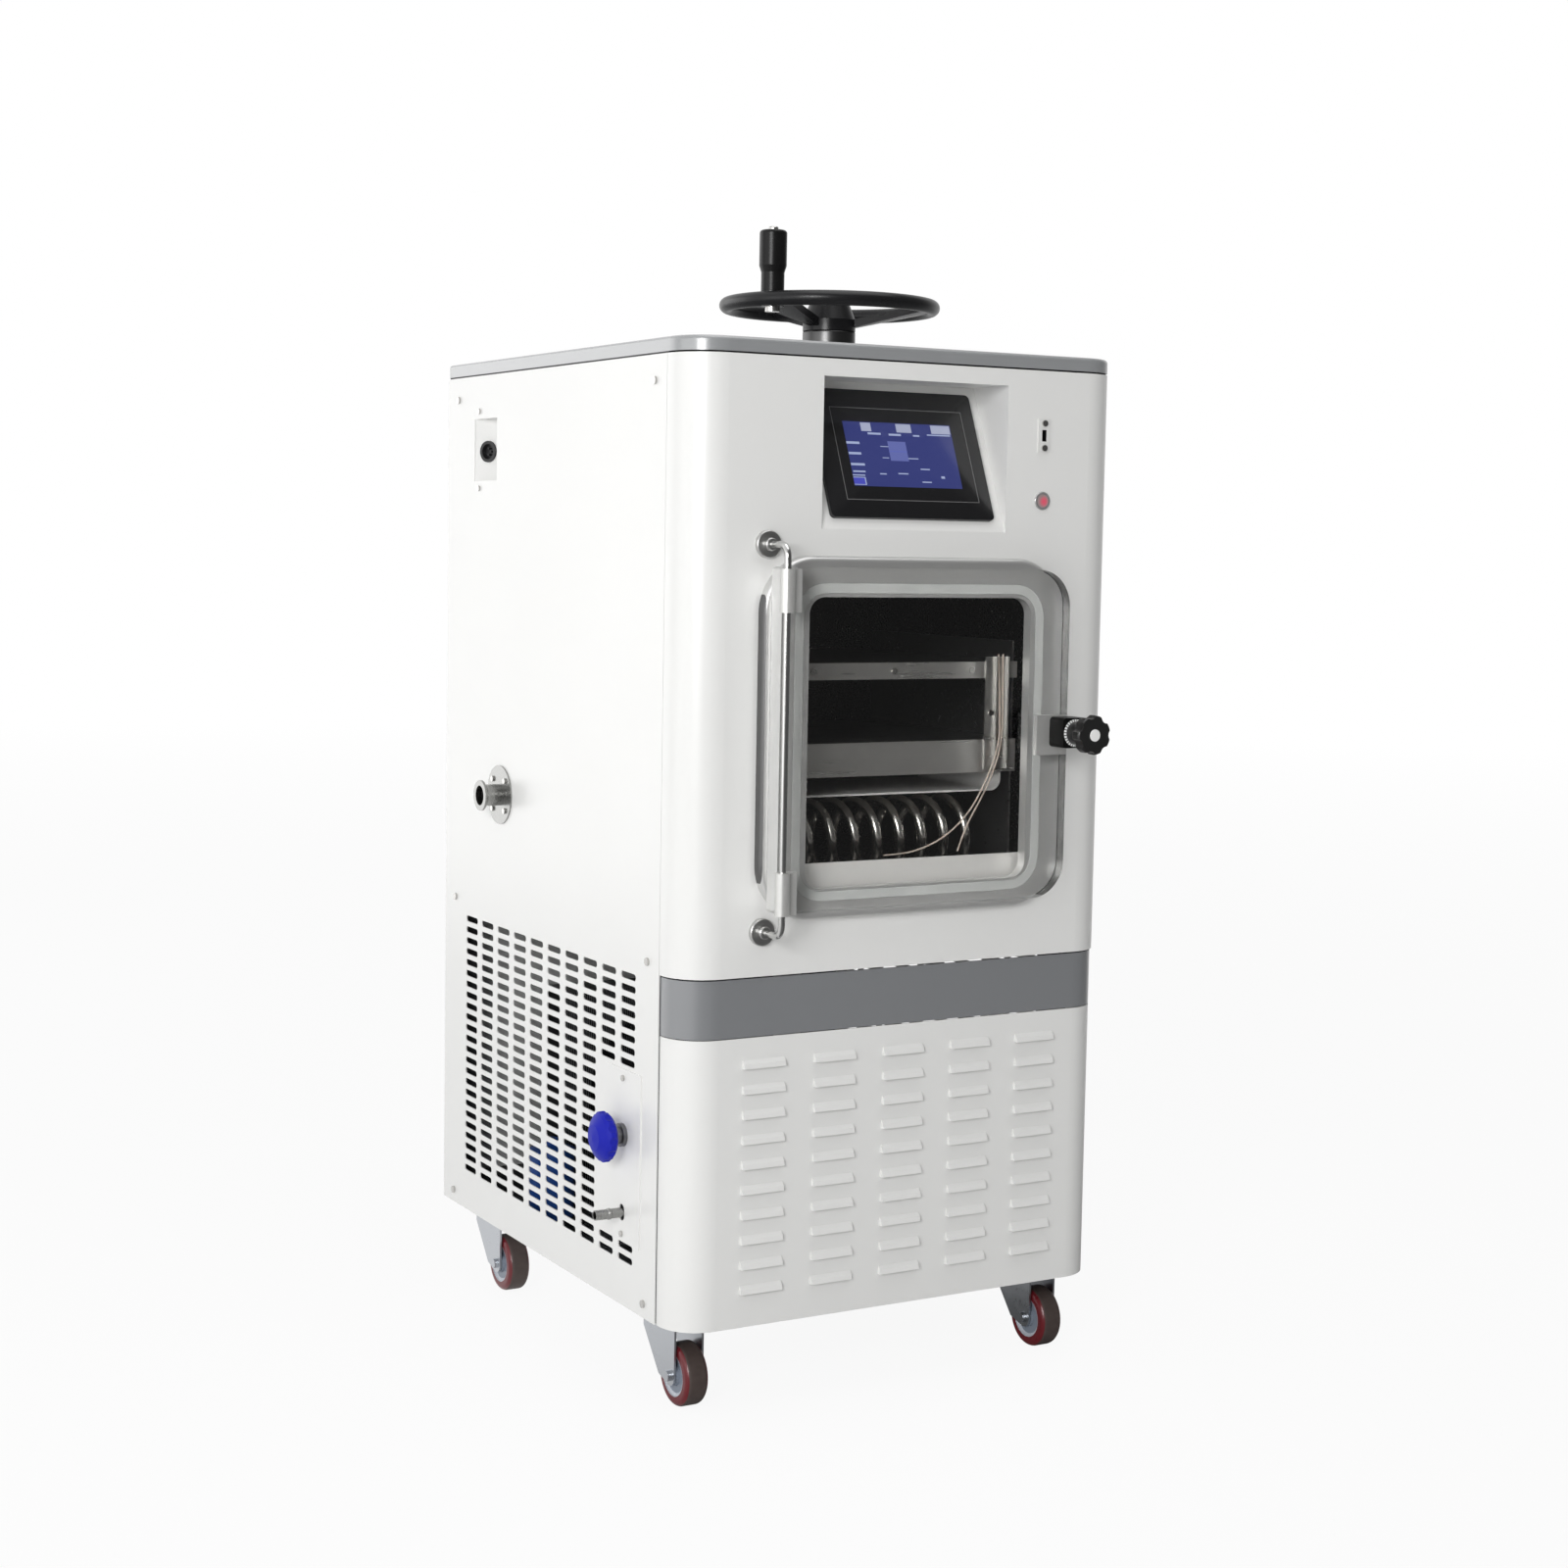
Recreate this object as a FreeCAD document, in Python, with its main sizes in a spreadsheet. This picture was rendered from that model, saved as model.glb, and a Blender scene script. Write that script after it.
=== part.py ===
"""Freeze dryer on casters: a cold chamber behind an acrylic door, in a sheet-steel cabinet.

Millimetres, +Z up.  The origin is the centre of the cabinet's footprint on the floor, +X is the
right hand of someone who faces the door, and the door looks along -Y.  Every driving size is a
cell of the sheet "sizes"; a Size keeps the cell's formula as text beside its value, so that the
same expression in this file both binds an object and places what is worked out in code.
"""

import FreeCAD, Part
import math
import os
from types import SimpleNamespace

import Sketcher

Vector = FreeCAD.Vector
Rotation = FreeCAD.Rotation

SIZES = (
    # cabinet
    ("cab_width", 598, "outside width"),
    ("cab_depth", 704, "outside depth"),
    ("base_height", 105, "floor to the panels' lower edge"),
    ("cover_top", 1245, "floor to the top of the cover"),
    ("cover_thick", 17, "height of the cover's skirt"),
    ("cover_gap", 2, "shadow gap under the cover"),
    ("cover_edge", 5, "rounding of the cover's upper edge"),
    ("sheet_thick", 1.5, "panel sheet"),
    ("corner_bend", 50, "bend radius of the front corners"),
    ("rear_bend", 4, "corner radius at the back of the cover"),
    ("front_wrap", 55, "how far the front panels reach round the side"),
    ("wrap_gap", 1, "gap between front and side panels"),
    ("lip_width", 20, "inward lip of the front panels"),
    ("band_low", 447, "lower edge of the band"),
    ("band_high", 515, "upper edge of the band"),
    ("band_gap_above", 2, "shadow gap above the band"),
    ("band_gap_below", 1, "gap below the band"),
    ("band_setback", 2, "band and lower panel behind the upper panel"),
    # frame
    ("tube_width", 30, "frame tube, across"),
    ("post_depth", 50, "corner post, front to back"),
    ("tube_wall", 2, "frame tube wall"),
    ("pan_thick", 2, "base pan"),
    ("bridge_thick", 10, "plate that carries the screw's collar"),
    ("bridge_depth", 80, "same plate, front to back"),
    ("mid_rail_in", 187, "rear rail under the chamber, its centre from the back"),
    # screws
    ("screw_shank", 5, "panel screw thread"),
    ("screw_head", 9.5, "panel screw head"),
    ("screw_head_tall", 2.6, "panel screw head height"),
    ("screw_long", 9, "panel screw thread length"),
    ("small_shank", 4, "fitting screw thread"),
    ("small_head", 7.5, "fitting screw head"),
    ("small_head_tall", 2.2, "fitting screw head height"),
    ("small_long", 5, "fitting screw thread length"),
    ("thread_clear", 0.1, "hole over thread, on the radius"),
    ("screw_in_rear", 37, "screw line, from the back"),
    ("screw_in_front", 30, "screw line, behind the front panels' edge"),
    ("screw_top", 1196.7, "top screws"),
    ("screw_mid", 528, "middle screws"),
    ("screw_low", 122, "bottom screws"),
    # fits
    ("run_clear", 0.05, "running fit, on the radius"),
    ("soft_clear", 0.3, "clearance beside soft or sliding faces"),
    # vents
    ("vent_in", 94, "first vent column, from the back"),
    ("vent_step", 52.8, "vent column pitch"),
    ("vent_top", 503.5, "top vent row"),
    ("vent_drop", 14.8, "vent row pitch"),
    ("vent_long", 39, "vent slot length"),
    ("vent_wide", 8, "vent slot width"),
    # louvres
    ("louvre_mid", 1, "middle louvre column"),
    ("louvre_step", 95, "louvre column pitch"),
    ("louvre_top", 415.5, "top louvre row"),
    ("louvre_drop", 29.5, "louvre row pitch"),
    ("louvre_long", 55, "louvre length"),
    ("louvre_tall", 10, "louvre height"),
    ("louvre_deep", 5.5, "louvre hood stands proud"),
    # display
    ("recess_left", -126, "display recess, left edge"),
    ("recess_right", 129, "display recess, right edge"),
    ("recess_low", 1031, "display recess, lower edge"),
    ("recess_high", 1206, "display recess, upper edge"),
    ("display_tilt", 23, "lean of the display, degrees"),
    ("display_width", 226, "display bezel width"),
    ("display_tall", 163.5, "display bezel height"),
    ("display_thick", 5, "display bezel thickness"),
    ("display_low", 1046, "bezel's lower edge above the floor"),
    ("recess_floor", 1.0647, "recess back behind the front panel, at its lower edge"),
    ("display_mid", 2, "bezel's centre line"),
    ("display_round", 6, "bezel corner radius"),
    ("module_width", 215, "display module behind the bezel"),
    ("module_tall", 152, "display module height"),
    ("module_deep", 32, "display module depth"),
    # button and data port
    ("button_x", 181.5, "power button"),
    ("button_z", 1070.6, "power button height"),
    ("ring_radius", 11, "button ring flange"),
    ("ring_thick", 2, "button ring flange thickness"),
    ("ring_body", 9.5, "button ring barrel"),
    ("ring_deep", 26, "button ring barrel depth"),
    ("button_radius", 8, "moving button"),
    ("button_travel", 3, "button travel"),
    ("button_proud", 1.4, "button face in front of the panel"),
    ("port_z", 1148.5, "data port height"),
    ("port_plate_wide", 17, "data port plate"),
    ("port_plate_tall", 40, "data port plate height"),
    ("port_plate_thick", 1.5, "data port plate thickness"),
    ("port_pitch", 29.5, "data port screws"),
    ("port_body_wide", 13, "data port shell"),
    ("port_body_tall", 19, "data port shell height"),
    ("port_body_deep", 24, "data port shell depth"),
    ("port_slot_wide", 5.2, "data port slot"),
    ("port_slot_tall", 12.8, "data port slot height"),
    ("port_slot_deep", 13, "data port slot depth"),
    # chamber
    ("chamber_mid", 791, "chamber centre height"),
    ("chamber_half_wide", 194, "chamber shell, half the outside width"),
    ("chamber_half_tall", 198, "chamber shell, half the outside height"),
    ("chamber_round", 54, "chamber shell corner radius"),
    ("chamber_wall", 4, "chamber shell wall"),
    ("chamber_in", 147, "back of the chamber shell, from the cabinet's back"),
    ("flange_lap_x", 13, "flange past the shell, sideways"),
    ("flange_lap_z", 12, "flange past the shell, above and below"),
    ("flange_round_more", 12, "flange corner radius over the shell's"),
    ("flange_thick", 14, "flange stands in front of the panel"),
    ("flange_edge", 7, "rounding of the flange's front edge"),
    ("mouth_in_x", 41, "mouth inside the shell, sideways"),
    ("mouth_in_low", 25, "mouth inside the shell, below"),
    ("mouth_in_high", 35, "mouth inside the shell, above"),
    ("mouth_round", 20, "mouth corner radius"),
    ("gasket_in_x", 22, "gasket inside the shell's outline, sideways"),
    ("gasket_in_low", 11, "gasket inside the shell's outline, below"),
    ("gasket_in_high", 19, "gasket inside the shell's outline, above"),
    ("gasket_round", 40, "gasket, outside corner radius"),
    ("gasket_band", 11.5, "gasket, width of the band"),
    ("groove_deep", 4, "gasket groove depth"),
    ("gasket_proud", 0.1, "gasket in front of the flange"),
    ("door_gap", 0.4, "door behind face to flange"),
    # door
    ("door_lap_left", 4, "door past the shell at the hinge"),
    ("door_lap_right", 6, "door past the shell at the latch"),
    ("door_in_low", 1, "door inside the shell's outline, below"),
    ("door_in_high", 1, "door inside the shell's outline, above"),
    ("door_thick", 23, "door thickness"),
    ("door_round", 44, "door corners at the free edge"),
    ("door_hinge_round", 5, "door corners at the hinge edge"),
    # hinge
    ("hinge_in", 1, "hinge axis, from the door's edge"),
    ("hinge_proud", 10.6, "hinge axis in front of the door's face"),
    ("hinge_rod", 4, "hinge rod radius"),
    ("hinge_bend", 14, "hinge rod bend radius"),
    ("hinge_past_high", 25, "upper hinge boss above the door"),
    ("hinge_past_low", 25, "lower hinge boss below the door"),
    ("boss_radius", 16, "hinge boss foot"),
    ("boss_thick", 6, "hinge boss foot thickness"),
    ("boss_hub", 7.5, "hinge boss hub radius"),
    ("boss_tall", 12, "hinge boss, whole height"),
    ("barrel_radius", 8.5, "hinge barrel radius"),
    ("barrel_wide", 20, "hinge barrel foot on the door"),
    ("barrel_tall", 49, "hinge barrel length"),
    ("barrel_drop", 2, "upper barrel below the door's top"),
    # latch
    ("latch_in", 11.5, "latch axis, from the door's free edge"),
    ("latch_up", 4, "latch axis above the chamber's centre"),
    ("latch_plate_wide", 44, "latch plate width"),
    ("latch_plate_in", 4, "latch plate, from the door's free edge"),
    ("latch_plate_tall", 48, "latch plate height"),
    ("latch_plate_thick", 6, "latch plate thickness"),
    ("housing_half", 18, "latch housing, half width"),
    ("housing_round", 5, "latch housing corners"),
    ("housing_long", 28, "latch housing length"),
    ("neck_radius", 13.5, "star knob neck"),
    ("neck_long", 24, "star knob neck length"),
    ("knob_shaft", 10, "star knob shaft in the housing"),
    ("star_radius", 23.5, "star knob radius"),
    ("star_thick", 15, "star knob thickness"),
    ("star_lobes", 7, "lobes of the star knob"),
    ("star_scallop", 8, "scallop radius of the star knob"),
    ("stud_radius", 5, "latch stud radius"),
    ("stud_back", 0.5, "stud end inside the door at rest"),
    ("stud_long", 40, "stud length"),
    ("stud_travel", 8, "stud travel"),
    ("stud_room", 2, "room past the stud's end in the flange"),
    # shelves
    ("rack_clear", 10, "shelves inside the chamber, each side"),
    ("rack_in", 50, "shelves behind the front panel"),
    ("rack_to_back", 165, "shelves in front of the shell's back"),
    ("shelf_sheet", 3, "shelf sheet"),
    ("shelf_screw", 111, "shelf front screws, pitch"),
    ("rack_side", 3, "rack side plate"),
    ("rack_side_low", 625, "rack side plate, lower edge"),
    ("rack_side_high", 900, "rack side plate, upper edge"),
    ("shelf_a_low", 855, "upper shelf, underside"),
    ("shelf_a_high", 875, "upper shelf, top"),
    ("shelf_b_low", 740, "lower shelf, underside"),
    ("shelf_b_high", 780, "lower shelf, top"),
    ("pad_long", 40, "stand-off pads of the rack"),
    ("bracket_left", 133, "probe bracket, left edge"),
    ("bracket_right", 165, "probe bracket, right edge"),
    ("bracket_low", 744, "probe bracket, lower end"),
    ("bracket_high", 881, "probe bracket, upper end"),
    ("bracket_thick", 2, "probe bracket sheet"),
    ("rib_left", 146, "probe channel, left rib"),
    ("rib_deep", 4, "probe channel depth"),
    ("rib_thick", 1.5, "probe channel ribs"),
    ("wire_radius", 1, "probe wire radius"),
    # ice condenser
    ("coil_in", 120, "coil axis behind the front panel"),
    ("coil_z", 662, "coil axis height"),
    ("coil_radius", 40, "coil radius"),
    ("coil_pitch", 32, "coil pitch"),
    ("coil_turns", 8.5, "coil turns, a half turn over so that both ends face the back"),
    ("coil_left", 60, "coil, left end inside the shell"),
    ("coil_tube", 6, "coil tube radius"),
    ("coil_braze", 0.6, "brazed joint over the coil tube"),
    ("weir_in", 11, "weir plate behind the front panel"),
    ("weir_high", 645, "weir plate, upper edge"),
    ("weir_thick", 2, "weir plate thickness"),
    ("baffle_z", 716, "baffle above the coil"),
    ("baffle_long", 172, "baffle, front to back"),
    ("baffle_in", 60, "baffle behind the front panel"),
    ("baffle_clear", 14, "baffle's upright, inside the shelves' edge"),
    ("baffle_bend", 14, "bend at the baffle's right end"),
    # stoppering press
    ("wheel_in", 205, "screw axis behind the front panel"),
    ("press_clear", 15, "press plate inside the shelves' edge"),
    ("press_in", 55, "press plate behind the front panel"),
    ("press_to_back", 170, "press plate in front of the shell's back"),
    ("press_low", 957, "press plate, underside"),
    ("press_thick", 12, "press plate thickness"),
    ("ram_radius", 10, "press screw radius"),
    ("ram_proud", 25, "press screw above the cover"),
    ("ram_foot", 25, "press screw foot radius"),
    ("ram_foot_thick", 6, "press screw foot thickness"),
    ("gland_radius", 24, "gland on the chamber, radius"),
    ("gland_tall", 28, "gland on the chamber, height"),
    ("collar_radius", 32.5, "screw collar radius"),
    ("collar_tall", 30, "screw collar above the cover"),
    ("spigot_radius", 22, "collar spigot radius"),
    ("spigot_deep", 31.5, "collar spigot below the cover's top"),
    ("nut_radius", 16, "turning nut radius"),
    ("nut_neck", 14, "turning nut inside the wheel's hub"),
    ("nut_flange", 20, "turning nut's thrust flange"),
    ("nut_flange_tall", 4, "thrust flange thickness"),
    ("nut_deep", 60, "turning nut below the cover's top"),
    ("nut_tall", 61, "turning nut above the cover's top"),
    # handwheel
    ("rim_radius", 127, "handwheel rim, centre line"),
    ("rim_section", 9, "handwheel rim section radius"),
    ("rim_up", 60, "handwheel rim above the cover"),
    ("hub_radius", 32.5, "handwheel hub radius"),
    ("hub_low_tall", 14, "handwheel hub, straight part"),
    ("hub_tall", 67, "handwheel hub, top above the cover"),
    ("arm_thick", 9, "handwheel arm thickness"),
    ("arm_spread", 24, "handwheel arm width, degrees"),
    ("arm_count", 3, "handwheel arms"),
    ("grip_reach", 118, "grip axis from the wheel's axis"),
    ("grip_angle", 204, "direction of the grip, degrees"),
    ("grip_boss", 14, "boss under the grip"),
    ("grip_up", 69, "top of that boss above the cover"),
    ("grip_long", 72, "grip length"),
    ("grip_radius", 16.5, "grip radius"),
    ("grip_neck", 14, "grip radius at its lower end"),
    ("grip_neck_long", 22, "grip, lower end"),
    ("spindle_radius", 5, "grip spindle radius"),
    ("spindle_head", 6, "grip spindle head radius"),
    ("spindle_head_tall", 4, "grip spindle head height"),
    ("spindle_nut", 9, "nut under the rim, radius"),
    ("spindle_nut_tall", 6, "nut under the rim, height"),
    # left side fittings
    ("pocket_long", 74, "socket pocket, front to back"),
    ("pocket_in", 91, "socket pocket, from the back"),
    ("pocket_low", 1089, "socket pocket, lower edge"),
    ("pocket_high", 1170, "socket pocket, upper edge"),
    ("pocket_deep", 30, "socket pocket depth at its front"),
    ("pocket_flange", 4, "rim of the pocket behind the panel"),
    ("pocket_screw_in", 16, "pocket screws, from its rear edge"),
    ("socket_radius", 14, "power socket radius"),
    ("socket_along", 25, "socket centre, from the pocket's rear edge"),
    ("socket_z", 1127.5, "socket height"),
    ("socket_proud", 3, "socket flange thickness"),
    ("socket_deep", 26, "socket barrel length"),
    ("vac_in", 185, "vacuum port, from the back"),
    ("vac_z", 681, "vacuum port height"),
    ("vac_tube", 14, "vacuum tube outside radius"),
    ("vac_bore", 12.9, "vacuum tube bore radius"),
    ("vac_disc", 38.5, "vacuum port disc radius"),
    ("vac_disc_thick", 2, "vacuum port disc thickness"),
    ("vac_pitch", 27.5, "vacuum port screws, from the axis"),
    ("vac_flange", 20, "vacuum flange radius"),
    ("vac_flange_thick", 3, "vacuum flange rim"),
    ("vac_flare", 3.5, "flare behind the vacuum flange"),
    ("vac_out", 29, "vacuum flange face, from the panel"),
    ("valve_in", 142, "drain valve axis, behind the front panel"),
    ("valve_z", 312, "drain valve height"),
    ("valve_plate_wide", 92, "valve plate width"),
    ("valve_plate_low", 183, "valve plate, lower edge"),
    ("valve_plate_high", 391, "valve plate, upper edge"),
    ("valve_plate_thick", 1.5, "valve plate thickness"),
    ("valve_plate_lap", 16, "valve plate over the panel's opening"),
    ("valve_screw_high", 380, "valve plate, upper screw"),
    ("valve_screw_low", 192, "valve plate, lower screw"),
    ("bonnet_flange", 14, "drain valve flange radius"),
    ("bonnet_flange_thick", 5, "drain valve flange thickness"),
    ("bonnet_radius", 10.5, "drain valve bonnet radius"),
    ("bonnet_long", 9, "drain valve bonnet length"),
    ("valve_thread", 9, "drain valve body through the plate"),
    ("block_low", 203, "drain block, lower end"),
    ("block_high", 332, "drain block, upper end"),
    ("block_half", 15, "drain block, half width"),
    ("block_front", 14, "drain block behind the panel"),
    ("block_deep", 34, "drain block depth"),
    ("drain_spindle", 4.5, "drain spindle radius"),
    ("drain_spindle_in", 20, "drain spindle inside the bonnet"),
    ("drain_radius", 30, "drain knob radius"),
    ("drain_near", 20, "drain knob, inner face from the panel"),
    ("drain_far", 42, "drain knob, crown from the panel"),
    ("drain_lobes", 12, "lobes of the drain knob"),
    ("drain_scallop", 7, "scallop radius of the drain knob"),
    ("barb_z", 218, "hose tail height"),
    ("barb_radius", 6, "hose tail radius"),
    ("barb_bore", 4.8, "hose tail bore"),
    ("barb_ring", 6.9, "hose tail ring radius"),
    ("barb_out", 37, "hose tail, from the panel"),
    ("barb_slot_wide", 13.4, "slot round the hose tail"),
    ("barb_slot_tall", 20, "slot height"),
    # machinery
    ("comp_x", 90, "compressor"),
    ("comp_in", 382, "compressor, from the back"),
    ("comp_radius", 82, "compressor can radius"),
    ("comp_tall", 200, "compressor can height"),
    ("comp_round", 40, "compressor can shoulder"),
    ("comp_foot", 14, "compressor feet height"),
    ("rad_left", -190, "air condenser, left edge"),
    ("rad_right", 130, "air condenser, right edge"),
    ("rad_in", 122, "air condenser, front face from the back"),
    ("rad_thick", 30, "air condenser core"),
    ("rad_tall", 300, "air condenser height"),
    ("shroud_thick", 3, "fan shroud sheet"),
    ("fan_radius", 118, "fan radius"),
    ("fan_clear", 6, "fan tip to shroud"),
    ("fan_deep", 26, "fan hub depth"),
    ("fan_hub", 32, "fan hub radius"),
    ("fan_blades", 5, "fan blades"),
    ("fan_shaft", 4, "fan shaft radius"),
    ("motor_radius", 28, "fan motor radius"),
    ("motor_long", 50, "fan motor length"),
    ("filter_in_x", 65.5, "liquid filter, from the side panel"),
    ("filter_in_y", 212, "liquid filter, from the back"),
    ("filter_radius", 30, "liquid filter radius"),
    ("filter_tall", 118, "liquid filter height"),
    ("box_left", 120, "control box, left side"),
    ("box_long", 310, "control box, front to back"),
    ("box_in", 102, "control box, from the back"),
    ("box_low", 1040, "control box, underside"),
    ("box_high", 1190, "control box, top"),
    # casters
    ("caster_in_x", 46, "caster pivot, from the side"),
    ("caster_in_y", 95, "caster pivot, from the front and the back"),
    ("caster_trail", 28, "axle behind the pivot"),
    ("wheel_radius", 37.5, "caster wheel radius"),
    ("wheel_width", 30, "caster wheel width"),
    ("tyre_edge", 7, "rounding of the tyre's shoulders"),
    ("hub_rim", 25, "caster hub radius"),
    ("hub_width", 32, "caster hub width"),
    ("plate_wide", 68, "caster plate width"),
    ("plate_long", 88, "caster plate length"),
    ("plate_thick", 3.5, "caster plate thickness"),
    ("plate_bolt", 5, "caster plate bolt heads"),
    ("plate_bolt_tall", 3, "caster plate bolt heads, height"),
    ("race_radius", 22, "swivel race radius"),
    ("race_tall", 3.5, "swivel race height"),
    ("king_radius", 6, "kingpin radius"),
    ("king_head", 9, "kingpin head radius"),
    ("king_head_tall", 3, "kingpin head height"),
    ("fork_gap", 34, "between the fork's legs"),
    ("fork_sheet", 2.5, "fork sheet"),
    ("crown_thick", 4.5, "fork crown thickness"),
    ("fork_front", 40, "fork, front edge from the pivot"),
    ("fork_rear", 41, "fork, rear edge from the pivot"),
    ("axle_radius", 4, "axle radius"),
    ("axle_boss", 12, "fork leg's rounded end"),
    ("axle_head", 6.5, "axle head radius"),
    ("axle_head_tall", 5, "axle head height"),
)

doc = FreeCAD.newDocument("FreezeDryer")
parts = []


class Size:
    """A number together with the sheet formula that gives it."""

    def __init__(self, text, value):
        self.text = text
        self.value = float(value)

    def __float__(self):
        return self.value

    def __neg__(self):
        return Size(f"(-{self.text})", -self.value)

    def __add__(self, other):
        return Size(f"({self.text} + {formula(other)})", self.value + float(other))

    def __radd__(self, other):
        return Size(f"({formula(other)} + {self.text})", float(other) + self.value)

    def __sub__(self, other):
        return Size(f"({self.text} - {formula(other)})", self.value - float(other))

    def __rsub__(self, other):
        return Size(f"({formula(other)} - {self.text})", float(other) - self.value)

    def __mul__(self, other):
        return Size(f"({self.text} * {formula(other)})", self.value * float(other))

    __rmul__ = __mul__

    def __truediv__(self, other):
        return Size(f"({self.text} / {formula(other)})", self.value / float(other))

    def trig(self, name):
        """Sine, cosine or tangent of an angle in degrees."""
        return Size(f"{name}({self.text})", getattr(math, name)(math.radians(self.value)))


def formula(number):
    return number.text if isinstance(number, Size) else repr(float(number))


def make_sheet():
    """The sheet of driving sizes: a name, a value with that alias, and what it measures."""
    sheet = doc.addObject("Spreadsheet::Sheet", "sizes")
    named = SimpleNamespace()
    for row, (alias, value, note) in enumerate(SIZES, start=1):
        sheet.set(f"A{row}", alias)
        sheet.set(f"B{row}", str(value))
        sheet.set(f"C{row}", note)
        sheet.setAlias(f"B{row}", alias)
        setattr(named, alias, Size(f"sizes.{alias}", value))
    doc.recompute()
    return named


d = make_sheet()

# Lines that many pieces share.
half_wide = d.cab_width / 2
front_face = -d.cab_depth / 2
rear_face = d.cab_depth / 2
inner_x = half_wide - d.sheet_thick
inner_rear = rear_face - d.sheet_thick
wrap_y = front_face + d.front_wrap
panel_top = d.cover_top - d.cover_thick - d.cover_gap
frame_top = d.cover_top - d.sheet_thick
pan_top = d.base_height + d.pan_thick
flange_face = front_face - d.flange_thick
door_back = flange_face - d.door_gap
door_front = door_back - d.door_thick
hinge_y = door_front - d.hinge_proud
chamber_low = d.chamber_mid - d.chamber_half_tall
chamber_high = d.chamber_mid + d.chamber_half_tall
chamber_inner_x = d.chamber_half_wide - d.chamber_wall
chamber_back = rear_face - d.chamber_in

# The flange, the door and what hangs on it follow the shell's outline.
flange_x = d.chamber_half_wide + d.flange_lap_x
flange_reach_z = d.chamber_half_tall + d.flange_lap_z
flange_round = d.chamber_round + d.flange_round_more
mouth_x = d.chamber_half_wide - d.mouth_in_x
mouth_low, mouth_high = chamber_low + d.mouth_in_low, chamber_high - d.mouth_in_high
gasket_x = d.chamber_half_wide - d.gasket_in_x
gasket_low, gasket_high = chamber_low + d.gasket_in_low, chamber_high - d.gasket_in_high
door_left, door_right = -d.chamber_half_wide - d.door_lap_left, d.chamber_half_wide + d.door_lap_right
door_low, door_high = chamber_low + d.door_in_low, chamber_high - d.door_in_high
hinge_x = door_left + d.hinge_in
hinge_low, hinge_high = door_low - d.hinge_past_low, door_high + d.hinge_past_high
latch_x, latch_z = door_right - d.latch_in, d.chamber_mid + d.latch_up

# The display's shift along Y, and its foot, placed so that the recess keeps its depth below it.
display_shift = d.display_thick / d.display_tilt.trig("cos")
display_foot = (front_face + d.recess_floor - display_shift
                + (d.display_low - d.recess_low) * d.display_tilt.trig("tan"))

# Inside the chamber, and through its roof.
rack_x = chamber_inner_x - d.rack_clear
rack_front, rack_back = front_face + d.rack_in, chamber_back - d.rack_to_back
screw_y = front_face + d.wheel_in
ram_top = d.cover_top + d.ram_proud
nut_low, nut_high = d.cover_top - d.nut_deep, d.cover_top + d.nut_tall
rim_z, hub_top = d.cover_top + d.rim_up, d.cover_top + d.hub_tall
grip_base = d.cover_top + d.grip_up

# Places on the side panels.
screw_rear, screw_front = rear_face - d.screw_in_rear, wrap_y + d.screw_in_front
pocket_rear = rear_face - d.pocket_in
pocket_front = pocket_rear - d.pocket_long
pocket_screw_y = pocket_rear - d.pocket_screw_in
vac_y = rear_face - d.vac_in
valve_y = front_face + d.valve_in

# Turns that carry +Z to the direction in the key.
FACING = {
    "z": Rotation(),
    "x": Rotation(Vector(0, 1, 0), 90),
    "-x": Rotation(Vector(0, 1, 0), -90),
    "y": Rotation(Vector(1, 0, 0), -90),
    "-y": Rotation(Vector(1, 0, 0), 90),
}


# ---- document helpers ----------------------------------------------------------------------------

def bind(item, path, size):
    """Give a property its number, and its formula where it has one."""
    setattr(item, path, float(size))
    if isinstance(size, Size):
        item.setExpression(path, size.text)


def place(item, where, turn=None):
    """Stand an object at a point, with the formulas of that point's coordinates."""
    base = Vector(*(float(value) for value in where))
    item.Placement = FreeCAD.Placement(base, turn or Rotation())
    for axis, value in zip("xyz", where):
        if isinstance(value, Size):
            item.setExpression(f"Placement.Base.{axis}", value.text)
    return item


def box(name, low, high):
    """A block between two corners."""
    item = doc.addObject("Part::Box", name)
    for side, start, end in zip(("Length", "Width", "Height"), low, high):
        bind(item, side, end - start)
    return place(item, low)


def rod(name, start, radius, length, facing="z"):
    """A round bar from a point, along one of the axes."""
    item = doc.addObject("Part::Cylinder", name)
    bind(item, "Radius", radius)
    bind(item, "Height", length)
    return place(item, start, FACING[facing])


def fuse(name, items):
    item = doc.addObject("Part::MultiFuse", name)
    item.Shapes = items
    return item


def group(name, items):
    """Separate solids that share one node."""
    item = doc.addObject("Part::Compound", name)
    item.Links = items
    return item


def common(name, base, tool):
    item = doc.addObject("Part::Common", name)
    item.Base = base
    item.Tool = tool
    return item


def cut(name, base, tools):
    item = doc.addObject("Part::Cut", name)
    item.Base = base
    item.Tool = tools[0] if len(tools) == 1 else group(name + "_tools", tools)
    return item


def shaped(name, shape):
    """A shape worked out in code from the sheet's values."""
    item = doc.addObject("Part::Feature", name)
    item.Shape = shape
    return item


def keep(node, item):
    """Name a finished sub-part."""
    item.Label = node
    parts.append((node, item))
    return item


# ---- sketches and bodies -------------------------------------------------------------------------

def new_body(name):
    return doc.addObject("PartDesign::Body", name)


def new_sketch(body, name, role):
    sketch = body.newObject("Sketcher::SketchObject", name)
    plane = next(item for item in body.Origin.OriginFeatures if item.Role == role)
    sketch.AttachmentSupport = (plane, [""])
    sketch.MapMode = "FlatFace"
    return sketch


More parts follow.
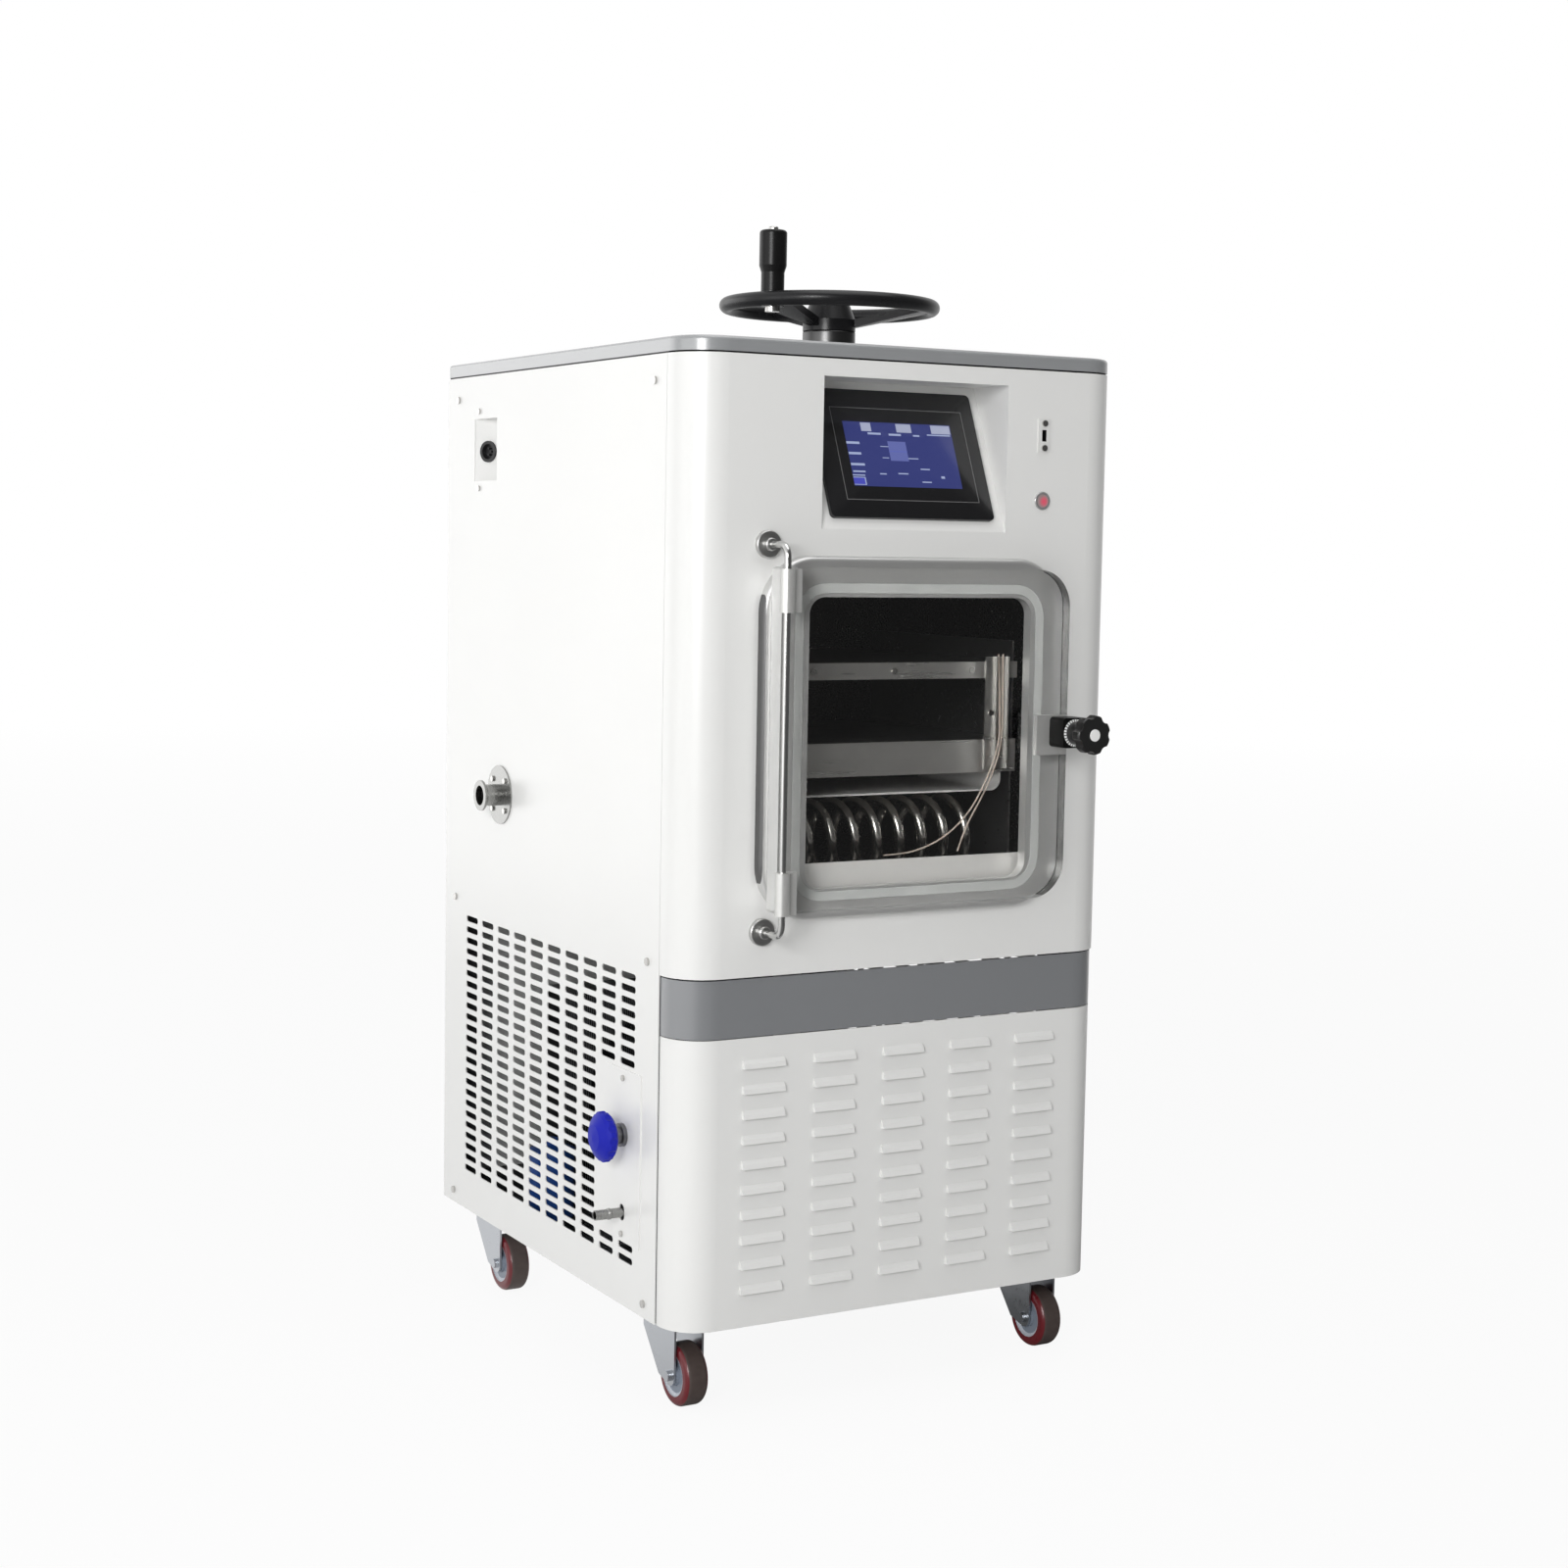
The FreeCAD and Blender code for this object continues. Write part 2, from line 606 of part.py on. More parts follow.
class Drawing:
    """Collects a sketch's geometry and constraints, then binds each measure to its formula."""

    def __init__(self, sketch):
        self.sketch = sketch
        self.rules = []
        self.bound = []

    def rule(self, *words):
        self.rules.append(Sketcher.Constraint(*words))

    def measure(self, words, size):
        if isinstance(size, Size):
            self.bound.append((len(self.rules), size.text))
        self.rule(*words, float(size))

    def pin(self, geo, end, point):
        """Fix one end of a line, or a circle's centre, to its place."""
        for kind, axis, value in (("DistanceX", -2, point[0]), ("DistanceY", -1, point[1])):
            if not isinstance(value, Size) and value == 0:
                self.rule("PointOnObject", geo, end, axis)
            else:
                self.measure((kind, -1, 1, geo, end), value)

    def circle(self, centre, radius):
        middle = Vector(float(centre[0]), float(centre[1]), 0)
        geo = self.sketch.addGeometry(Part.Circle(middle, Vector(0, 0, 1), float(radius)))
        self.pin(geo, 3, centre)
        self.measure(("Radius", geo), radius)

    def outline(self, corners):
        """A closed loop of straight sides; a corner's third number is its radius."""
        ends = []
        for index, corner in enumerate(corners):
            after = corners[(index + 1) % len(corners)]
            if len(corner) > 2:
                entry = toward(corner, corners[index - 1], corner[2])
                leave = toward(corner, after, corner[2])
                ends.append((entry, leave, corner[2], corner))
            else:
                ends.append((corner, corner, None, corner))
        lines = []
        for index, here in enumerate(ends):
            there = ends[(index + 1) % len(ends)]
            line = Part.LineSegment(flat(here[1]), flat(there[0]))
            lines.append(self.sketch.addGeometry(line))
        for index, (entry, leave, radius, corner) in enumerate(ends):
            before = lines[index - 1]
            self.pin(lines[index], 1, leave)
            if radius is None:
                self.rule("Coincident", before, 2, lines[index], 1)
                continue
            self.pin(before, 2, entry)
            self.corner_arc(before, lines[index], entry, leave, radius, corner)

    def corner_arc(self, before, after, entry, leave, radius, corner):
        start, end, tip = flat(entry), flat(leave), flat(corner)
        centre = start + end - tip
        middle = centre + (tip - centre).normalize() * float(radius)
        arc = self.sketch.addGeometry(Part.Arc(start, middle, end))
        left = (start - centre).cross(end - centre).z > 0
        self.rule("Coincident", before, 2, arc, 1 if left else 2)
        self.rule("Coincident", after, 1, arc, 2 if left else 1)
        self.measure(("Radius", arc), radius)

    def finish(self):
        self.sketch.addConstraint(self.rules)
        for index, text in self.bound:
            self.sketch.setExpression(f"Constraints[{index}]", text)
        return self.sketch


def flat(point):
    return Vector(float(point[0]), float(point[1]), 0)


def toward(corner, other, distance):
    """The point at a distance from a corner, along a level or upright side."""
    across = float(other[0]) - float(corner[0])
    upright = float(other[1]) - float(corner[1])
    if abs(across) > abs(upright):
        return (corner[0] + distance * math.copysign(1, across), corner[1])
    return (corner[0], corner[1] + distance * math.copysign(1, upright))


def frame_corners(left, right, low, high, radius):
    """A rectangle with four equal corners, anticlockwise."""
    return ((left, low, radius), (right, low, radius), (right, high, radius), (left, high, radius))


def outlined(body, name, role, outlines, circles=()):
    drawing = Drawing(new_sketch(body, name, role))
    for corners in outlines:
        drawing.outline(corners)
    for centre, radius in circles:
        drawing.circle(centre, radius)
    return drawing.finish()


def feature(body, kind, name, profile, **sizes):
    """A PartDesign feature on a sketch, with its sizes bound."""
    item = body.newObject("PartDesign::" + kind, name)
    item.Profile = profile
    profile.Visibility = False
    for path, size in sizes.items():
        if isinstance(size, (Size, int, float)) and not isinstance(size, bool):
            bind(item, path, size)
        else:
            setattr(item, path, size)
    return item


def turned(name, corners, where, facing="z"):
    """A turned piece: a profile of radius and height, spun about the sketch's upright axis."""
    body = new_body(name)
    sketch = outlined(body, name + "_profile", "XZ_Plane", [corners])
    spin = feature(body, "Revolution", name + "_spin", sketch)
    spin.ReferenceAxis = (sketch, ["V_Axis"])
    spin.Angle = 360
    place(body, where, FACING[facing])
    return body


def check_grew(body, before, grows):
    """A cut that points the wrong way changes nothing and shows no error, so compare volumes."""
    doc.recompute()
    change = body.Shape.Volume - before
    if (change > 0) != grows or abs(change) < 1e-6:
        raise RuntimeError(f"{body.Name}: the last feature did not change it as meant")


def pocketed(body, name, sketch, depth=None, reverse=False):
    """Cut a sketch into its body, to a depth or right through both ways."""
    doc.recompute()
    before = body.Shape.Volume
    item = feature(body, "Pocket", name, sketch)
    item.Reversed = reverse
    if depth is None:
        item.Type = "ThroughAll"
        item.Midplane = True
    else:
        bind(item, "Length", depth)
    check_grew(body, before, grows=False)
    return item


def repeated(body, name, original, axis, count):
    """Repeat a feature evenly round an axis."""
    item = body.newObject("PartDesign::PolarPattern", name)
    item.Originals = [original]
    item.Axis = axis
    item.Angle = 360
    item.Occurrences = int(float(count))
    if isinstance(count, Size):
        item.setExpression("Occurrences", count.text)
    body.Tip = item
    return item


def edges_where(shape, test):
    return [f"Edge{index}" for index, edge in enumerate(shape.Edges, start=1) if test(edge)]


def rounded_edges(body, name, test, radius):
    """Round the edges of the body's last feature that pass a test."""
    doc.recompute()
    base = body.Tip
    names = edges_where(base.Shape, test)
    item = body.newObject("PartDesign::Fillet", name)
    item.Base = (base, names)
    bind(item, "Radius", radius)
    return item


def level_edge(edge, axis, value):
    """True for an edge whose two ends and middle all have one coordinate."""
    box_of = edge.BoundBox
    low, high = {"x": (box_of.XMin, box_of.XMax), "y": (box_of.YMin, box_of.YMax),
                 "z": (box_of.ZMin, box_of.ZMax)}[axis]
    return abs(low - float(value)) < 0.01 and abs(high - float(value)) < 0.01


def tube_along(points, radius):
    """A round tube on straight runs joined by tangent arcs.

    Each arc's radius is 0.45 of the shorter run beside it, divided by the tangent of half the
    turn, so that it fills both runs.  Returns the solid, the list of radii and the length.
    """
    knots = [Vector(*point) for point in points]
    edges, radii = [], []
    start = knots[0]
    for before, here, after in zip(knots, knots[1:], knots[2:]):
        back, ahead = (before - here), (after - here)
        reach = 0.45 * min(back.Length, ahead.Length)
        turn = math.pi - back.getAngle(ahead)
        bend = reach / math.tan(turn / 2)
        radii.append(bend)
        entry = here + back.normalize() * reach
        leave = here + ahead.normalize() * reach
        inward = (back + ahead).normalize()
        middle = here + inward * (bend / math.cos(turn / 2) - bend)
        edges.append(Part.LineSegment(start, entry).toShape())
        edges.append(Part.Arc(entry, middle, leave).toShape())
        start = leave
    edges.append(Part.LineSegment(start, knots[-1]).toShape())
    path = Part.Wire(edges)
    ring = Part.Wire(Part.Circle(knots[0], knots[1] - knots[0], float(radius)).toShape())
    return path.makePipeShell([ring], True, True), radii, path.Length


# ---- cabinet -------------------------------------------------------------------------------------

def tube(name, low, high, along):
    """A square frame tube, open at its ends: a block with a core removed along one axis."""
    axis = "xyz".index(along)
    core_low = [value if index == axis else value + d.tube_wall for index, value in enumerate(low)]
    core_high = [value if index == axis else value - d.tube_wall for index, value in enumerate(high)]
    return cut(name, box(name + "_block", low, high), [box(name + "_core", core_low, core_high)])


def screw_places():
    """Panel screws and fitting screws: node point on the surface, and the way the head looks."""
    side = [(y, z) for y in (screw_rear, screw_front)
            for z in (d.screw_top, d.screw_mid, d.screw_low)]
    post_x = inner_x - d.tube_width / 2
    large = [((-half_wide, y, z), "-x") for y, z in side]
    large += [((half_wide, y, z), "x") for y, z in side]
    large += [((x, rear_face, z), "y") for x in (-post_x, post_x)
              for z in (d.screw_top, d.screw_mid, d.screw_low)]
    plate_face = -half_wide - d.valve_plate_thick
    disc_face = -half_wide - d.vac_disc_thick
    reach = d.vac_pitch * math.sqrt(0.5)
    small = [((plate_face, valve_y, z), "-x") for z in (d.valve_screw_high, d.valve_screw_low)]
    small += [((disc_face, vac_y + reach * a, d.vac_z + reach * b), "-x")
              for a in (-1, 1) for b in (-1, 1)]
    lift = d.pocket_flange + d.small_head / 2 + 2
    small += [((-half_wide, pocket_screw_y, z), "-x")
              for z in (d.pocket_low - lift, d.pocket_high + lift)]
    port_face = front_face - d.port_plate_thick
    small += [((d.button_x, port_face, d.port_z + d.port_pitch / 2 * a), "-y") for a in (-1, 1)]
    shelf_z = (d.shelf_a_low + d.shelf_a_high) / 2
    inner = [((2 + d.shelf_screw * a, rack_front, shelf_z), "-y") for a in (-1, 0, 1)]
    inner.append(((d.bracket_left + d.small_head, rack_front - d.bracket_thick,
                   (d.bracket_low + d.bracket_high) / 2), "-y"))
    return large, small, inner


OPPOSITE = {"x": "-x", "-x": "x", "y": "-y", "-y": "y"}


def screw(name, point, facing, shank, head, head_tall, length):
    inward = OPPOSITE[facing]
    return fuse(name, [rod(name + "_head", point, head / 2, head_tall, facing),
                       rod(name + "_shank", point, shank / 2, length, inward)])


def screw_hole(name, point, facing, shank, length):
    """A hole that starts just outside the outermost sheet and is deeper than the screw."""
    axis = "xyz".index(facing[-1])
    sign = -1 if facing[0] == "-" else 1
    start = [value + sign * 4 if index == axis else value for index, value in enumerate(point)]
    return rod(name, start, shank / 2 + d.thread_clear, length + 8, OPPOSITE[facing])


def make_screws():
    large, small, inner = screw_places()
    screws, hole_groups = [], []
    small_sizes = (d.small_shank, d.small_head, d.small_head_tall, d.small_long)
    for kind, points, sizes in (("panel", large, (d.screw_shank, d.screw_head, d.screw_head_tall,
                                                  d.screw_long)),
                                ("small", small, small_sizes), ("inner", inner, small_sizes)):
        shank, head, head_tall, length = sizes
        holes = []
        for index, (point, facing) in enumerate(points, start=1):
            screws.append(screw(f"{kind}_screw_{index}", point, facing, shank, head, head_tall, length))
            holes.append(screw_hole(f"{kind}_hole_{index}", point, facing, shank, length))
        hole_groups.append(group(f"{kind}_holes", holes))
    keep("panel_screws", group("screw_set", screws))
    return hole_groups


def make_frame(large_holes):
    """Welded tube frame: four posts, three rings of rails and the plate under the wheel."""
    outer, inner = inner_x, inner_x - d.tube_width
    front_low, front_high = wrap_y, wrap_y + d.post_depth
    rear_low, rear_high = inner_rear - d.post_depth, inner_rear
    tubes = []
    for side, sign in (("left", -1), ("right", 1)):
        low_x, high_x = (-outer, -inner) if sign < 0 else (inner, outer)
        for end, y_low, y_high in (("front", front_low, front_high), ("rear", rear_low, rear_high)):
            tubes.append(tube(f"post_{end}_{side}", (low_x, y_low, pan_top),
                              (high_x, y_high, frame_top), "z"))
        for level, z_low in (("base", pan_top), ("mid", chamber_low - d.tube_width),
                             ("top", frame_top - d.tube_width)):
            tubes.append(tube(f"rail_{level}_{side}", (low_x, front_high, z_low),
                              (high_x, rear_low, z_low + d.tube_width), "y"))
    rail_front = front_high - d.tube_width
    half = d.tube_width / 2
    crosses = (("base_front", rail_front, pan_top), ("base_rear", rear_high - d.tube_width, pan_top),
               ("mid_front", rail_front, chamber_low - d.tube_width),
               ("mid_rear", rear_face - d.mid_rail_in - half, chamber_low - d.tube_width),
               ("top_front", rail_front, frame_top - d.tube_width),
               ("top_rear", rear_high - d.tube_width, frame_top - d.tube_width))
    for level, y_low, z_low in crosses:
        tubes.append(tube(f"rail_{level}", (-inner, y_low, z_low),
                          (inner, y_low + d.tube_width, z_low + d.tube_width), "x"))
    reach = d.bridge_depth / 2
    bridge = box("bridge_block", (-inner, screw_y - reach, frame_top - d.bridge_thick),
                 (inner, screw_y + reach, frame_top))
    hole = rod("bridge_hole", (0, screw_y, frame_top - d.bridge_thick - 1),
               d.spigot_radius + d.run_clear, d.bridge_thick + 2)
    tubes.append(cut("bridge", bridge, [hole]))
    keep("cabinet_frame", cut("frame_drilled", group("frame_tubes", tubes), [large_holes]))


def front_shell(name, setback, z_low, z_high):
    """A front panel: one sheet with two round corners and a lip at each end, seen in plan."""
    out_x, out_y, bend = half_wide - setback, front_face + setback, d.corner_bend - setback
    in_x, in_y = out_x - d.sheet_thick, out_y + d.sheet_thick
    lip_x = inner_x - d.lip_width
    lip_y = wrap_y - d.sheet_thick
    body = new_body(name)
    corners = [(-out_x, wrap_y), (-out_x, out_y, bend), (out_x, out_y, bend), (out_x, wrap_y),
               (lip_x, wrap_y), (lip_x, lip_y), (in_x, lip_y),
               (in_x, in_y, bend - d.sheet_thick), (-in_x, in_y, bend - d.sheet_thick),
               (-in_x, lip_y), (-lip_x, lip_y), (-lip_x, wrap_y)]
    sketch = outlined(body, name + "_plan", "XY_Plane", [corners])
    feature(body, "Pad", name + "_pad", sketch, Length=z_high - z_low)
    place(body, (0, 0, z_low))
    return body


def make_front_panels():
    upper = front_shell("upper_shell", 0, d.band_high + d.band_gap_above, panel_top)
    past = d.sheet_thick + 2
    openings = [box("recess_opening", (d.recess_left, front_face - 1, d.recess_low),
                    (d.recess_right, front_face + past, d.recess_high)),
                rod("ring_opening", (d.button_x, front_face - 1, d.button_z),
                    d.ring_body + d.thread_clear, past + 1, "y")]
    half_w, half_t = d.port_body_wide / 2 + 0.1, d.port_body_tall / 2 + 0.1
    openings.append(box("port_opening", (d.button_x - half_w, front_face - 1, d.port_z - half_t),
                        (d.button_x + half_w, front_face + past, d.port_z + half_t)))
    half_pitch = d.port_pitch / 2
    openings += [rod(f"port_screw_opening_{sign}", (d.button_x, front_face - 1,
                                                    d.port_z + half_pitch * sign),
                     d.small_shank / 2 + d.thread_clear, past + 1, "y") for sign in (-1, 1)]
    mouth = new_body("shell_opening")
    reach_x = d.chamber_half_wide + d.thread_clear
    reach_z = d.chamber_half_tall + d.thread_clear
    corners = frame_corners(-reach_x, reach_x, -reach_z, reach_z, d.chamber_round + d.thread_clear)
    sketch = outlined(mouth, "shell_opening_plan", "XZ_Plane", [corners])
    feature(mouth, "Pad", "shell_opening_pad", sketch, Length=past + 1)
    place(mouth, (0, front_face + past, d.chamber_mid))
    openings.append(mouth)
    openings += [rod(f"hinge_foot_opening_{index}", (hinge_x, front_face - 1, height),
                     d.hinge_rod + d.run_clear, past + 1, "y")
                 for index, height in enumerate((hinge_low, hinge_high), start=1)]
    keep("front_upper_panel", cut("upper_panel", upper, openings))
    keep("front_band", front_shell("band_shell", d.band_setback, d.band_low, d.band_high))
    lower = front_shell("lower_shell", d.band_setback, d.base_height, d.band_low - d.band_gap_below)
    slits, hoods = louvre_shapes()
    slitted = cut("lower_slitted", lower, [slits])
    keep("front_lower_panel", fuse("lower_panel", [slitted, hoods]))


def louvre_shapes():
    """Fifty pressed louvres: a slit in the sheet under a hood that opens downward."""
    face = float(front_face + d.band_setback)
    sheet, tall, deep = float(d.sheet_thick), float(d.louvre_tall), float(d.louvre_deep)
    long, inset = float(d.louvre_long), 2.0

    def wedge(x_low, x_high, z_low, back, out, top):
        corners = [Vector(x_low, y, z) for y, z in
                   ((back, z_low), (face - out, z_low), (face - out * 0.72, z_low + top * 0.55),
                    (back, z_low + top))]
        return Part.Face(Part.makePolygon(corners + corners[:1])).extrude(Vector(x_high - x_low, 0, 0))

    slits, hoods = [], []
    for column in range(-2, 3):
        x_low = float(d.louvre_mid) + column * float(d.louvre_step) - long / 2
        for row in range(10):
            z_low = float(d.louvre_top) - row * float(d.louvre_drop) - tall / 2
            outer = wedge(x_low, x_low + long, z_low, face, deep, tall)
            inner = wedge(x_low + inset, x_low + long - inset, z_low - 1, face + 0.01, deep - sheet,
                          tall - sheet)
            hoods.append(outer.cut(inner))
            slits.append(Part.makeBox(long - 2 * inset, sheet + 2, tall - 2.5,
                                      Vector(x_low + inset, face - 1, z_low)))
    return (shaped("louvre_slits", Part.makeCompound(slits)),
            shaped("louvre_hoods", Part.makeCompound(hoods)))


def vent_slots(side_x, skip_valve):
    """A field of round-ended slots; beside the drain valve two columns are left short."""
    radius, half = float(d.vent_wide) / 2, (float(d.vent_long) - float(d.vent_wide)) / 2
    deep = float(d.sheet_thick) + 2
    slots = []
    for column in range(10):
        y = float(rear_face - d.vent_in) - column * float(d.vent_step)
        for row in range(24):
            if skip_valve and column > 7 and 7 < row < 22:
                continue
            z = float(d.vent_top) - row * float(d.vent_drop)
            left, right = Vector(side_x, y - half, z), Vector(side_x, y + half, z)
            up, out = Vector(0, 0, radius), Vector(0, radius, 0)
            edges = [Part.LineSegment(left + up, right + up).toShape(),
                     Part.Arc(right + up, right + out, right - up).toShape(),
                     Part.LineSegment(right - up, left - up).toShape(),
                     Part.Arc(left - up, left - out, left + up).toShape()]
            slots.append(Part.Face(Part.Wire(edges)).extrude(Vector(deep, 0, 0)))
    return Part.makeCompound(slots)


def make_side_and_rear_panels(large_holes, small_holes):
    y_low = wrap_y + d.wrap_gap
    left = box("left_sheet", (-half_wide, y_low, d.base_height), (-inner_x, rear_face, panel_top))
    right = box("right_sheet", (inner_x, y_low, d.base_height), (half_wide, rear_face, panel_top))
    rear = box("rear_sheet", (-inner_x, inner_rear, d.base_height), (inner_x, rear_face, panel_top))
    start = -float(half_wide) - 1
    tools = [shaped("left_vents", vent_slots(start, True)), large_holes, small_holes]
    lap = d.valve_plate_lap
    tools.append(box("valve_opening",
                     (-half_wide - 1, valve_y - d.valve_plate_wide / 2 + lap, d.valve_plate_low + lap),
                     (-inner_x + 1, valve_y + d.valve_plate_wide / 2 - lap, d.valve_plate_high - lap)))
    tools.append(box("pocket_opening", (-half_wide - 1, pocket_front, d.pocket_low),
                     (-inner_x + 1, pocket_rear, d.pocket_high)))
    tools.append(rod("vacuum_opening", (-half_wide - 1, vac_y, d.vac_z),
                     d.vac_tube + d.soft_clear, d.sheet_thick + 2, "x"))
    keep("left_side_panel", cut("left_panel", left, tools))
    right_start = float(inner_x) - 1
    vents = shaped("right_vents", vent_slots(right_start, False))
    keep("right_side_panel", cut("right_panel", right, [vents, large_holes]))
    keep("rear_panel", cut("rear_panel_cut", rear, [large_holes]))


def make_base_pan():
    keep("base_pan", box("pan", (-inner_x, wrap_y, d.base_height), (inner_x, inner_rear, pan_top)))


def make_cover():
    """The top cover: a shallow tray turned over, with a rounded upper edge."""
    body = new_body("cover")
    corners = [(-half_wide, front_face, d.corner_bend), (half_wide, front_face, d.corner_bend),
               (half_wide, rear_face, d.rear_bend), (-half_wide, rear_face, d.rear_bend)]
    sketch = outlined(body, "cover_plan", "XY_Plane", [corners])
    feature(body, "Pad", "cover_pad", sketch, Length=d.cover_thick)
    rounded_edges(body, "cover_round", lambda edge: level_edge(edge, "z", d.cover_thick), d.cover_edge)
    wall = d.sheet_thick
    inner = [(-half_wide + wall, front_face + wall, d.corner_bend - wall),
             (half_wide - wall, front_face + wall, d.corner_bend - wall),
             (half_wide - wall, rear_face - wall), (-half_wide + wall, rear_face - wall)]
    hollow = outlined(body, "cover_inner_plan", "XY_Plane", [inner])
    pocketed(body, "cover_hollow", hollow, d.cover_thick - wall, reverse=True)
    hole = outlined(body, "cover_hole_plan", "XY_Plane", [], [((0, screw_y),
                                                              d.spigot_radius + d.thread_clear)])
    pocketed(body, "cover_hole", hole)
    place(body, (0, 0, d.cover_top - d.cover_thick))
    keep("top_cover", body)


# ---- front fittings ------------------------------------------------------------------------------

def lean_y(z):
    """The bezel's front plane: how far back it lies at a height."""
    return display_foot + (z - d.display_low) * d.display_tilt.trig("tan")


def make_display():
    """A sheet pocket with a leaning back, and the display module that sits in it."""
    lean_shift = display_shift
    wall = d.sheet_thick
    skin = wall / d.display_tilt.trig("cos")

    def prism(name, grow, front, x_low, x_high, back):
        body = new_body(name)
        z_low, z_high = d.recess_low - grow, d.recess_high + grow
        corners = [(front, z_low), (lean_y(z_low) + back, z_low), (lean_y(z_high) + back, z_high),
                   (front, z_high)]
        sketch = outlined(body, name + "_side", "YZ_Plane", [corners])
        feature(body, "Pad", name + "_pad", sketch, Length=x_high - x_low)
        return place(body, (x_low, 0, 0))

    inside = front_face + d.sheet_thick
    outer = prism("housing_outer", wall, inside, d.recess_left - wall, d.recess_right + wall,
                  lean_shift + skin)
    inner = prism("housing_inner", 0, front_face - 1, d.recess_left, d.recess_right, lean_shift)
    tilt = Rotation(Vector(1, 0, 0), -float(d.display_tilt))

    def leaning(body):
        place(body, (d.display_mid, display_foot, d.display_low), tilt)
        body.setExpression("Placement.Rotation.Angle", (-d.display_tilt).text)
        return body

    low = (d.display_tall - d.module_tall) / 2
    half = d.module_width / 2

    def module(name, grow, start, deep):
        body = new_body(name)
        corners = [(-half - grow, low - grow), (half + grow, low - grow),
                   (half + grow, low + d.module_tall + grow), (-half - grow, low + d.module_tall + grow)]
        sketch = outlined(body, name + "_front", "XZ_Plane", [corners])
        feature(body, "Pad", name + "_pad", sketch, Length=deep + start, Reversed=True)
        return leaning(body)

    cut_through = module("module_opening", d.soft_clear, 0, d.display_thick + d.module_deep + 10)
    keep("display_housing", cut("housing", outer, [inner, cut_through]))
    bezel = new_body("bezel")
    face = frame_corners(-d.display_width / 2, d.display_width / 2, 0, d.display_tall, d.display_round)
    sketch = outlined(bezel, "bezel_front", "XZ_Plane", [face])
    feature(bezel, "Pad", "bezel_pad", sketch, Length=d.display_thick, Reversed=True)
    leaning(bezel)
    back = module("module_back", 0, 0, d.display_thick + d.module_deep)
    keep("touch_display", fuse("display_unit", [bezel, back]))


def make_button_and_port():
    profile = [(d.button_radius + d.run_clear, -d.ring_deep), (d.ring_body, -d.ring_deep),
               (d.ring_body, 0), (d.ring_radius, 0), (d.ring_radius, d.ring_thick, d.ring_thick / 2),
               (d.button_radius + d.run_clear, d.ring_thick)]
    keep("power_button_ring", turned("ring", profile, (d.button_x, front_face, d.button_z), "-y"))
    length = d.ring_deep - d.button_travel - 1 + d.button_proud
    face = front_face - d.button_proud
    keep("power_button", rod("button", (d.button_x, face, d.button_z), d.button_radius, length, "y"))
    half_w, half_t = d.port_plate_wide / 2, d.port_plate_tall / 2
    plate = box("port_plate", (d.button_x - half_w, front_face - d.port_plate_thick, d.port_z - half_t),
                (d.button_x + half_w, front_face, d.port_z + half_t))
    body_w, body_t = d.port_body_wide / 2, d.port_body_tall / 2
    shell = box("port_shell", (d.button_x - body_w, front_face, d.port_z - body_t),
                (d.button_x + body_w, front_face + d.port_body_deep, d.port_z + body_t))
    slot_w, slot_t = d.port_slot_wide / 2, d.port_slot_tall / 2
    slot = box("port_slot", (d.button_x - slot_w, front_face - d.port_plate_thick - 1, d.port_z - slot_t),
               (d.button_x + slot_w, front_face + d.port_slot_deep, d.port_z + slot_t))
    holes = [rod(f"port_hole_{sign}", (d.button_x, front_face - d.port_plate_thick - 1,
                                       d.port_z + d.port_pitch / 2 * sign),
                 d.small_shank / 2 + d.thread_clear, d.port_plate_thick + 2, "y") for sign in (-1, 1)]
    keep("usb_port", cut("port", fuse("port_solid", [plate, shell]), [slot] + holes))


# ---- chamber -------------------------------------------------------------------------------------

